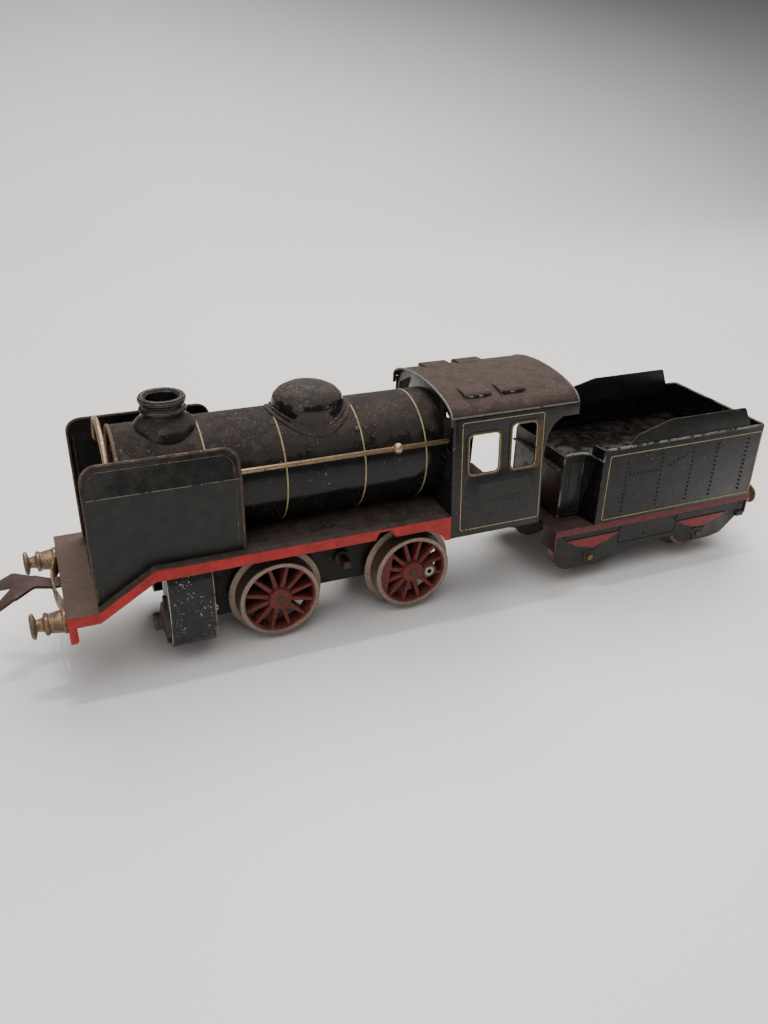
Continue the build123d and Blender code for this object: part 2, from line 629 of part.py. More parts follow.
def driving_wheel(x, crank):
    """A spoked driver; with a crank angle it also gets its boss and balance weight."""
    z = DRIVER_AXLE_Z
    rim = turned("Y", [(12.7, 14.6), (17.2, BACK_TO_BACK), (17.5, 14.4), (17.4, 15.0),
                       (15.3, 15.4), (DRIVER_TREAD, WHEEL_FACE - 0.3), (14.7, WHEEL_FACE),
                       (13.3, WHEEL_FACE), (13.1, 20.9), (12.7, 20.7)], x, z)
    hub = turned("Y", [(AXLE_R, BACK_TO_BACK), (4.6, BACK_TO_BACK), (4.6, 17.0), (4.4, 21.1),
                       (3.9, 21.7), (1.9, 22.0), (AXLE_R, 22.0)], x, z)
    wheel = rim + hub
    for spoke in range(SPOKES):
        bar = prism([(4.0, -0.85), (13.0, -0.55), (13.0, 0.55), (4.0, 0.85)], 15.6, 20.3, "Y")
        bar = bar.rotate(Axis((0, 0, 0), (0, 1, 0)), 360 / SPOKES * (spoke + 0.5))
        wheel += Pos(x, 0, z) * bar
    if crank is None:
        return wheel
    angle = math.radians(crank)
    pin_x, pin_z = x + CRANK_THROW * math.cos(angle), z + CRANK_THROW * math.sin(angle)
    wheel += rod("Y", 15.6, 21.1, pin_x, pin_z, 3.0)
    weight = turned("Y", [(0.0, 16.0), (13.0, 16.0), (13.0, 20.7), (0.0, 20.7)], 0, 0)
    weight &= box(-14, -9.3, 15, 22, -14, 14)
    wheel += Pos(x, 0, z) * weight.rotate(Axis((0, 0, 0), (0, 1, 0)), -crank)
    wheel -= rod("Y", BACK_TO_BACK, 23, pin_x, pin_z, EYELET_R)
    return wheel - rod("Y", 13, 23, x, z, AXLE_R)


def crank_eyelet(crank):
    angle = math.radians(crank)
    x, z = CRANK_THROW * math.cos(angle), DRIVER_AXLE_Z + CRANK_THROW * math.sin(angle)
    return turned("Y", [(EYELET_BORE, 14.6), (EYELET_R, 14.6), (EYELET_R, 21.1), (2.1, 21.1),
                        (2.0, 21.6), (EYELET_BORE, 21.6)], x, z)


def wheel_axle(x, z, half, radius):
    return rod("Y", -half, half, x, z, radius)


def tender_wheel(x):
    """A pressed disc wheel with a dished web and a hub."""
    z = TENDER_AXLE_Z
    tread, flange = TENDER_TREAD, TENDER_TREAD + FLANGE_DEPTH
    wheel = turned("Y", [(TENDER_AXLE_R, BACK_TO_BACK + 0.6), (7.4, BACK_TO_BACK + 0.6),
                         (flange - 0.3, BACK_TO_BACK), (flange, 14.4), (flange - 0.1, 15.0),
                         (tread + 0.3, 15.4), (tread, WHEEL_FACE - 0.3), (tread - 0.3, WHEEL_FACE),
                         (7.8, WHEEL_FACE), (7.5, 19.4), (3.2, 18.6), (2.9, 20.6),
                         (TENDER_AXLE_R, 20.8)], x, z)
    return wheel


# ---- drawbar and tender --------------------------------------------------------------------


def drawbar():
    """A flat tongue, wide at the tender and narrow at the locomotive, with turned-up edges."""
    top = DRAWBAR_Z + 1.0
    plan = [(LOCO_PIN_X - 6, -6.5), (LOCO_PIN_X - 6, 6.5), (50, 15.5), (66, 15.5), (66, -15.5), (50, -15.5)]
    plate = soft_prism(plan, [3, 3, 2, 1, 1, 2], DRAWBAR_Z, top, "Z")
    for x in (LOCO_PIN_X, TENDER_PIN_X):
        plate -= rod("Z", 20, 28, x, 0, PIN_R + FIT)
    lip = prism([(36, 8.0), (50, 14.9), (50, 15.5), (36, 8.7)], top, top + 0.8, "Z")
    return plate + lip + other_side(lip)


def drawbar_pin(x, top):
    """A shouldered rivet: hung from the sheet above, with a flat head under the drawbar."""
    pin = rod("Z", DRAWBAR_Z - 1.3, top, x, 0, PIN_R)
    head = rod("Z", DRAWBAR_Z - 1.3, DRAWBAR_Z - 0.4, x, 0, 2.8)
    washer = rod("Z", top, top + 0.7, x, 0, 2.8)
    return pin + head + washer


def tender_frame():
    """The flat tender floor with folded edges, a front and a rear beam."""
    sheet = box(TENDER_FRONT, TENDER_REAR, -TENDER_HALF, TENDER_HALF, TENDER_TOP - SHEET, TENDER_TOP)
    for side in (-1, 1):
        edge = sorted((side * TENDER_HALF, side * (TENDER_HALF - SHEET)))
        sheet += box(TENDER_FRONT, TENDER_REAR, edge[0], edge[1], TENDER_TOP - 2.8, TENDER_TOP)
    rear = box(TENDER_REAR - SHEET, TENDER_REAR, -TENDER_HALF, TENDER_HALF, 17.5, TENDER_TOP)
    rear -= box(TENDER_REAR - 2, TENDER_REAR + 2, -7.5, 7.5, 20.6, 24.6)
    front = box(TENDER_FRONT, TENDER_FRONT + SHEET, 18.5, TENDER_HALF, 17.0, TENDER_TOP)
    sheet += rear + front + other_side(front)
    sheet -= rod("Z", 20, 30, TENDER_PIN_X, 0, PIN_R)
    sheet -= rod("Z", 20, 30, REAR_HOOK_PIVOT, 0, PIN_R)
    for side in (-1, 1):
        sheet -= rod("X", TENDER_REAR - 2, TENDER_REAR + 2, side * BUFFER_Y, REAR_BUFFER_Z, 1.5)
    return sheet


def tender_side_frame():
    """One side frame: guards over both wheels, axle journals and two embossed leaf springs."""
    outer = TENDER_HALF - SHEET
    outline = [(TENDER_FRONT + SHEET, 25.9), (156.9, 25.9), (156.9, 20.0), (146, 9.6), (140, 8.4), (124, 8.4),
               (119, 13.0), (92, 13.0), (88.5, 9.0), (84, 7.6), (66, 7.6), (61.5, 10.0), (59.6, 16.0)]
    radii = [0.3, 0.3, 2.0, 3.0, 2.0, 3.0, 3.0, 3.0, 2.5, 2.5, 3.0, 3.0, 2.0]
    plate = soft_prism(outline, radii, outer - SHEET, outer, "Y")
    for name, x in TENDER_AXLES.items():
        spring = prism([(x - 12.5, 21.0), (x + 13.5, 21.0), (x + 8.5, 18.2), (x + 1.5, 16.2),
                        (x - 1.0, 16.2), (x - 8.0, 18.2)], outer, outer + 0.5, "Y")
        spring = spring if name == "front" else Pos(0, 0, -1.2) * spring
        box_plate = soft_prism([(x - 3.2, 8.9), (x + 3.2, 8.9), (x + 3.2, 14.6), (x - 3.2, 14.6)],
                               [0.6] * 4, outer, outer + 0.5, "Y")
        plate += spring + box_plate
        plate -= rod("Y", outer - 2, outer + 2, x, TENDER_AXLE_Z, TENDER_AXLE_R + FIT)
    step = soft_prism([(152.2, 16.6), (156.2, 16.6), (156.2, 18.9), (152.2, 18.9)], [0.4] * 4,
                      outer, outer + 1.2, "Y")
    return plate + step


def tender_plan(inset):
    half, nose = TENDER_HALF - inset, TENDER_NOSE_HALF - inset
    knee = inset * 0.9
    right = [(TENDER_NOSE_X, nose), (75.0 + knee, nose), (77.0 + knee, half), (157.0 - inset, half)]
    return right + [(x, -y) for x, y in right[::-1]]


def tender_body():
    """The bunker walls: set in at the nose, full width behind, open on top."""
    walls = prism(tender_plan(0), TENDER_TOP, TENDER_WALL_TOP, "Z")
    walls -= prism([(x - 2 if x < 67 else x, y) for x, y in tender_plan(SHEET)], 20, 70, "Z")
    walls -= box(60, 76.2, -30, 30, TENDER_NOSE_TOP, 70)
    return walls


def bunker_floor():
    return prism(tender_plan(SHEET + 0.05), 44.0, 44.0 + SHEET, "Z")


def tender_front_plate():
    """The plate across the nose, with the ledge of the coal door."""
    back = TENDER_NOSE_X - SHEET
    plate = box(back, TENDER_NOSE_X, -TENDER_NOSE_HALF, TENDER_NOSE_HALF, TENDER_TOP, 54.0)
    return plate + box(63.4, back, -17.4, 17.4, 47.8, 48.5)


def coping_board():
    """One raised coal board inside the bunker wall, leaning in a little."""
    section = [(27.35, 54.5), (27.35, 59.0), (26.4, 67.3), (25.8, 67.3), (26.75, 59.0), (26.75, 54.5)]
    outline = [(88.6, 54.5), (88.6, 58.9), (92.8, 63.0), (108.5, 67.2), (146.2, 67.2), (150.6, 58.2),
               (150.6, 54.5)]
    face = soft_prism(outline, [0.5, 1.0, 2.0, 4.0, 1.5, 1.0, 0.5], 24, 29, "Y")
    return prism(section, 80, 156, "X") & face


# ---- every node ----------------------------------------------------------------------------


def all_nodes():
    nodes = {
        "running_board": running_board(),
        "buffer_beam": buffer_beam(),
        "coupler_guide": coupler_guide(),
        "front_coupler_hook": coupling_hook(FRONT_HOOK_PIVOT, DECK_FRONT, -146.0, 28.2),
        "front_hook_pin": hook_pin(FRONT_HOOK_PIVOT, 26.8, DECK_Z - SHEET),
        "boiler_barrel": boiler_barrel(),
        "smokebox_door": smokebox_door(),
        "chimney": chimney(),
        "steam_dome": steam_dome(),
        "handrail_wire": handrail_wire(),
        "handrail_knobs": handrail_knobs(),
        "cab_body": cab_body(),
        "cab_window_frames": cab_window_frames(),
        "cab_roof": cab_roof(),
        "cab_floor": cab_floor(),
        "brake_rod": cab_lever(1),
        "reversing_rod": cab_lever(-1),
        "board_screws": board_screws(),
        "motor_pillars": motor_pillars(),
        "motor_screws": motor_screws(),
        "mainspring": mainspring(),
        "winding_arbor": winding_arbor(),
        "great_wheel": great_wheel(),
        "ratchet_click": ratchet_click(),
        "intermediate_gear": intermediate_gear(),
        "governor_spindle": governor_spindle(),
        "axle_gear": axle_gear(),
        "front_axle": wheel_axle(FRONT_AXLE_X, DRIVER_AXLE_Z, 22.2, AXLE_R),
        "rear_axle": wheel_axle(0, DRIVER_AXLE_Z, 22.2, AXLE_R),
        "crank_eyelets": [other_side(crank_eyelet(CRANK_ANGLE)), crank_eyelet(CRANK_ANGLE + 90)],
        "drawbar": drawbar(),
        "loco_drawbar_pin": drawbar_pin(LOCO_PIN_X, CAB_FLOOR_Z + SHEET),
        "tender_drawbar_pin": drawbar_pin(TENDER_PIN_X, TENDER_TOP),
        "tender_frame": tender_frame(),
        "tender_body": tender_body(),
        "bunker_floor": bunker_floor(),
        "tender_front_plate": tender_front_plate(),
        "rear_coupler_hook": coupling_hook(REAR_HOOK_PIVOT, TENDER_REAR, 172.0, 22.2),
        "rear_hook_pin": hook_pin(REAR_HOOK_PIVOT, 20.8, TENDER_TOP),
    }
    pairs = {
        "smoke_deflector": smoke_deflector(),
        "cylinder": cylinder(),
        "motor_plate": motor_plate(),
        "front_driver": driving_wheel(FRONT_AXLE_X, None),
        "tender_side_frame": tender_side_frame(),
    }
    groups = {
        "cylinder_covers": cylinder_cover(),
        "coping_boards": coping_board(),
        "front_buffers": buffer(-136.0, DECK_FRONT, 1, FRONT_BUFFER_Z),
        "tender_buffers": buffer(165.5, TENDER_REAR, 1, REAR_BUFFER_Z),
    }
    for name, x in TENDER_AXLES.items():
        groups[f"tender_{name}_wheels"] = tender_wheel(x)
        nodes[f"tender_{name}_axle"] = wheel_axle(x, TENDER_AXLE_Z, 28.5, TENDER_AXLE_R)
    for name, right in pairs.items():
        nodes[f"{name}_right"] = right
        nodes[f"{name}_left"] = other_side(right)
    for name, right in groups.items():
        nodes[name] = [right, other_side(right)]
    nodes["rear_driver_left"] = other_side(driving_wheel(0, CRANK_ANGLE))
    nodes["rear_driver_right"] = driving_wheel(0, CRANK_ANGLE + 90)
    return nodes


def save(nodes):
    os.makedirs("parts", exist_ok=True)
    for name, shape in nodes.items():
        solids = shape if isinstance(shape, list) else [shape]
        moved = [solid.moved(Location((REAR_AXLE_X, 0, 0))) for piece in solids for solid in piece.solids()]
        export_step(moved[0] if len(moved) == 1 else Compound(children=moved), f"parts/{name}.step")


save(all_nodes())
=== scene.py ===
import bmesh
import bpy
import json
import math
from mathutils import Matrix, Vector


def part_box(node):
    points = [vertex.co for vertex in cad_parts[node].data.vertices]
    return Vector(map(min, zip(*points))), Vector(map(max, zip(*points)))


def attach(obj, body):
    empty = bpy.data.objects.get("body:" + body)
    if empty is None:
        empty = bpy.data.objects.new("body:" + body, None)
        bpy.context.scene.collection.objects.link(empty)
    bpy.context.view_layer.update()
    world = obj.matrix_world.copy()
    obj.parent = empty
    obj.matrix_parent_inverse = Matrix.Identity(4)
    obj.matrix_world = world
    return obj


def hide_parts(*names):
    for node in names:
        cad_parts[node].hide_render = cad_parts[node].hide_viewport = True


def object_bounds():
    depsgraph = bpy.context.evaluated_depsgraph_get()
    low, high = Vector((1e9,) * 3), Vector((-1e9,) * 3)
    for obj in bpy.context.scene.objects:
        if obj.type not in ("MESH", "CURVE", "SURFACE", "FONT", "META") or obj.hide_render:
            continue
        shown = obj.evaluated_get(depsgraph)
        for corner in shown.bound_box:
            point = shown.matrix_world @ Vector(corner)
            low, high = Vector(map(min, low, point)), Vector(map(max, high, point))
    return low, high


# A tinplate clockwork locomotive and tender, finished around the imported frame. Lengths in metres.
MM = 0.001
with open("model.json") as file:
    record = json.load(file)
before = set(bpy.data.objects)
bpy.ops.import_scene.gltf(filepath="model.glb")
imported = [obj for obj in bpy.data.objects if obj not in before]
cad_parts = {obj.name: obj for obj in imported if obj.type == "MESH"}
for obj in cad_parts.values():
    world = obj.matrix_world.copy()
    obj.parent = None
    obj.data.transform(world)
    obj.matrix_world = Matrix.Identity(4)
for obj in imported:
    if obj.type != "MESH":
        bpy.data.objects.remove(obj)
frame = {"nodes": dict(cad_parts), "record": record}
cad_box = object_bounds()
RECORD = frame["record"]
BODY_OF = {node: body for body, nodes in RECORD["behaviour"]["bodies"].items() for node in nodes}

# Stations along the object are in millimetres behind the rear driving axle, heights above the floor.
REAR_AXLE_X = (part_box("rear_axle")[0].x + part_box("rear_axle")[1].x) / 2
BOILER_LOW, BOILER_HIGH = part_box("boiler_barrel")
BOILER_R = (BOILER_HIGH.y - BOILER_LOW.y) / 2 / MM
BOILER_Z = BOILER_HIGH.z / MM - BOILER_R
BOARD_Z = BOILER_LOW.z / MM
BAND_STATIONS = (-74.0, -48.0, -19.5, 4.0)
SEAM_STATION = -96.0
RAMP_START = -114.4
SHEET_FRONT, SHEET_REAR, SHEET_TOP, SHEET_KNEE = -114.2, -64.8, 79.2, 69.5
ROOF_HALF, ROOF_RISE, ROOF_EAVE_Z = 25.6, 7.1, 80.0
ROOF_FRONT, ROOF_REAR = 10.2, 63.3
ROOF_VENTS = ((18.2, 29.0), (32.6, 43.2))
CAB_BASE_Z, CAB_BASE_HALF, CAB_LEAN = 33.5, 28.5, 0.07097
CAB_WINDOWS = ((17.8, 30.4, 57.7, 72.9), (35.3, 45.8, 57.5, 75.0))
TENDER_HALF, TENDER_WALL_TOP, TENDER_NOSE_TOP = 28.0, 59.0, 54.3
NOSE_HALF, NOSE_FRONT, NOSE_BACK, WALL_FRONT, WALL_REAR = 18.0, 66.0, 75.0, 77.0, 157.0
SIDE_FRAME_Y = 27.4
SHEET_Y, SHEET_LEAN = 24.6, 3.6 / 9.7
COPING_FOOT_Y, COPING_LEAN, COPING_RIVET_Z = 27.35, 0.1145, 65.4

SHARP_DEG, SMOOTH_DEG, ROUND_DEG = 28, 35, 60
SIDES = ((-1, "left"), (1, "right"))

# The camera from the middle of the object's foot, in millimetres and degrees.
CAMERA_AT = (-134.79, -272.69, 189.98)
CAMERA_YAW, CAMERA_PITCH, CAMERA_ROLL = 23.46, -27.76, 1.34
CAMERA_LENS, CAMERA_SENSOR = 40.13, 36.0


def spot(station, y, z):
    """A place in metres from its station, its side distance and its height in millimetres."""
    return Vector((REAR_AXLE_X + station * MM, y * MM, z * MM))


# ---- shader building -----------------------------------------------------------------------


class Shader:
    """A node tree with short calls for the few node kinds that the finishes use."""

    def __init__(self, name):
        self.material = bpy.data.materials.new(name)
        self.material.use_nodes = True
        self.tree = self.material.node_tree
        self.surface = self.tree.nodes["Principled BSDF"]
        coords = self.tree.nodes.new("ShaderNodeTexCoord")
        self.place = coords.outputs["Object"]
        self.facing = coords.outputs["Normal"]

    def wire(self, value, socket):
        if isinstance(value, bpy.types.NodeSocket):
            self.tree.links.new(value, socket)
        else:
            socket.default_value = value

    def noise(self, per_mm, detail=4.0, rough=0.55, seed=0.0):
        mapping = self.tree.nodes.new("ShaderNodeMapping")
        mapping.inputs["Scale"].default_value = [per_mm / MM] * 3
        mapping.inputs["Location"].default_value = (seed, seed * 0.7, seed * 1.3)
        self.wire(self.place, mapping.inputs["Vector"])
        node = self.tree.nodes.new("ShaderNodeTexNoise")
        node.inputs["Scale"].default_value = 1.0
        node.inputs["Detail"].default_value = detail
        node.inputs["Roughness"].default_value = rough
        self.wire(mapping.outputs["Vector"], node.inputs["Vector"])
        return node.outputs["Fac"]

    def cells(self, per_mm, seed=0.0):
        mapping = self.tree.nodes.new("ShaderNodeMapping")
        mapping.inputs["Scale"].default_value = [per_mm / MM] * 3
        mapping.inputs["Location"].default_value = (seed, seed, seed)
        self.wire(self.place, mapping.inputs["Vector"])
        node = self.tree.nodes.new("ShaderNodeTexVoronoi")
        node.inputs["Scale"].default_value = 1.0
        self.wire(mapping.outputs["Vector"], node.inputs["Vector"])
        return node.outputs["Distance"]

    def step(self, value, low, high):
        """0 below low, 1 above high, smooth between; low may be the larger one."""
        node = self.tree.nodes.new("ShaderNodeMapRange")
        node.interpolation_type = "SMOOTHSTEP"
        self.wire(value, node.inputs["Value"])
        flip = low > high
        node.inputs["From Min"].default_value = min(low, high)
        node.inputs["From Max"].default_value = max(low, high)
        node.inputs["To Min"].default_value = 1.0 if flip else 0.0
        node.inputs["To Max"].default_value = 0.0 if flip else 1.0
        return node.outputs["Result"]

    def math(self, kind, a, b=0.0, clamp=False):
        node = self.tree.nodes.new("ShaderNodeMath")
        node.operation = kind
        node.use_clamp = clamp
        self.wire(a, node.inputs[0])
        self.wire(b, node.inputs[1])
        return node.outputs["Value"]

    def mix(self, factor, a, b):
        node = self.tree.nodes.new("ShaderNodeMix")
        node.data_type = "RGBA"
        self.wire(factor, node.inputs["Factor"])
        self.wire(a if isinstance(a, bpy.types.NodeSocket) else (*a, 1.0), node.inputs["A"])
        self.wire(b if isinstance(b, bpy.types.NodeSocket) else (*b, 1.0), node.inputs["B"])
        return node.outputs["Result"]

    def blend(self, factor, a, b):
        node = self.tree.nodes.new("ShaderNodeMix")
        self.wire(factor, node.inputs["Factor"])
        self.wire(a, node.inputs["A"])
        self.wire(b, node.inputs["B"])
        return node.outputs["Result"]

    def axis(self, vector, which):
        node = self.tree.nodes.new("ShaderNodeSeparateXYZ")
        self.wire(vector, node.inputs["Vector"])
        return node.outputs[which]

    def attribute(self, name):
        node = self.tree.nodes.new("ShaderNodeAttribute")
        node.attribute_name = name
        return node.outputs["Fac"]

    def bump(self, height, depth_mm, under=None):
        node = self.tree.nodes.new("ShaderNodeBump")
        node.inputs["Distance"].default_value = depth_mm * MM
        self.wire(height, node.inputs["Height"])
        if under is not None:
            self.wire(under, node.inputs["Normal"])
        return node.outputs["Normal"]

    def finish(self, color, rough, metallic=0.0, normal=None, shine=0.5):
        self.wire(color, self.surface.inputs["Base Color"])
        self.wire(rough, self.surface.inputs["Roughness"])
        self.wire(metallic, self.surface.inputs["Metallic"])
        self.surface.inputs["Specular IOR Level"].default_value = shine
        if normal is not None:
            self.wire(normal, self.surface.inputs["Normal"])
        return self.material


DUST = (0.088, 0.062, 0.050)
DARK_DUST = (0.040, 0.028, 0.023)
PALE_DUST = (0.24, 0.185, 0.15)
TIN = (0.34, 0.32, 0.29)
DUST_ROUGHNESS, WORN_ROUGHNESS, WORN_METALLIC = 0.92, 0.45, 0.4


def enamel(name, paint, gloss=0.25, dust=0.5, film=0.12, chips=0.5, edge_wear=0.6, bare=TIN,
           grit=0.3, waves=0.5, seed=0.0, shine=0.3, pale=1.0):
    """Stoving enamel on tin: dust lies on what faces up, edges and spots are worn to the metal.
    The film is a haze on every face, and pale scales how light the dust is."""
    s = Shader(name)
    broad = s.noise(0.035, 3.0, seed=seed)
    medium = s.noise(0.22, 6.0, 0.62, seed=seed + 3)
    fine = s.noise(1.3, 5.0, 0.6, seed=seed + 7)
    grains = s.noise(2.4, 4.0, 0.7, seed=seed + 11)
    up = s.step(s.axis(s.facing, "Z"), 0.25, 0.95)
    cover = s.math("ADD", s.math("MULTIPLY", broad, 0.4), s.math("MULTIPLY", medium, 0.6))
    patch = s.step(cover, 0.40, 0.58)
    lying = s.math("MULTIPLY", up, s.math("ADD", s.math("MULTIPLY", patch, 0.7), 0.3))
    haze = s.math("MULTIPLY", s.step(medium, 0.35, 0.75), film)
    dusty = s.math("ADD", s.math("MULTIPLY", lying, dust), haze, clamp=True)
    tone = s.mix(s.step(medium, 0.3, 0.7), [c * 0.75 for c in paint], [c * 1.25 for c in paint])
    dirt = s.mix(s.step(grains, 0.38, 0.62), [c * pale for c in DARK_DUST], [c * pale for c in DUST])
    crumbs = s.step(s.cells(0.9, seed + 21), 0.20, 0.12)
    dirt = s.mix(s.math("MULTIPLY", crumbs, s.step(medium, 0.42, 0.6)), dirt, PALE_DUST)
    color = s.mix(dusty, tone, dirt)
    edge = s.attribute("edge")
    rub = s.math("MULTIPLY", edge, s.step(s.math("ADD", medium, s.math("MULTIPLY", fine, 0.4)),
                                         0.98 - 0.45 * edge_wear, 1.04 - 0.45 * edge_wear))
    spot_level = 0.76 - 0.11 * chips
    spots = s.step(fine, spot_level, spot_level + 0.02)
    cluster = s.step(s.noise(0.11, 4.0, seed=seed + 17), 0.48, 0.56)
    worn = s.math("MAXIMUM", rub, s.math("MULTIPLY", spots, cluster), clamp=True)
    metal_tone = s.mix(s.step(grains, 0.4, 0.62), [c * 0.5 for c in bare], bare)
    color = s.mix(worn, color, metal_tone)
    matte = s.step(dusty, 0.04, 0.26)
    rough = s.blend(matte, s.math("ADD", s.math("MULTIPLY", fine, 0.16), gloss - 0.06), DUST_ROUGHNESS)
    rough = s.blend(worn, rough, WORN_ROUGHNESS)
    wave = s.bump(broad, waves)
    lumps = s.bump(s.math("MULTIPLY", grains, dusty), grit * 0.6, wave)
    skin = s.bump(s.math("SUBTRACT", s.math("MULTIPLY", fine, 0.15), worn), 0.06, lumps)
    return s.finish(color, rough, s.math("MULTIPLY", worn, WORN_METALLIC), skin, shine)


def metal(name, light, dark, rough=0.35, patina=0.5, stain=(0.06, 0.04, 0.03), seed=0.0, metallic=1.0):
    """Bare metal with patches of brown tarnish where a noise runs high."""
    s = Shader(name)
    medium = s.noise(0.32, 6.0, 0.65, seed=seed)
    fine = s.noise(2.0, 4.0, 0.6, seed=seed + 5)
    tarnish = s.step(s.math("ADD", medium, s.math("MULTIPLY", fine, 0.3)),
                     0.86 - 0.4 * patina, 0.98 - 0.3 * patina)
    color = s.mix(s.step(fine, 0.35, 0.7), dark, light)
    color = s.mix(tarnish, color, stain)
    roughness = s.blend(tarnish, s.math("ADD", s.math("MULTIPLY", fine, 0.2), rough - 0.08), 0.75)
    shine = s.blend(tarnish, metallic, 0.35 * metallic)
    return s.finish(color, roughness, shine, s.bump(s.math("ADD", fine, medium), 0.06))


BLACK = (0.0060, 0.0066, 0.0064)
GREEN_BLACK = (0.0085, 0.0100, 0.0088)
BROWN_BLACK = (0.055, 0.036, 0.027)
RED = (0.31, 0.012, 0.010)
DULL_RED = (0.115, 0.022, 0.026)
WINE = (0.020, 0.007, 0.007)
RUSTY = (0.20, 0.10, 0.06)


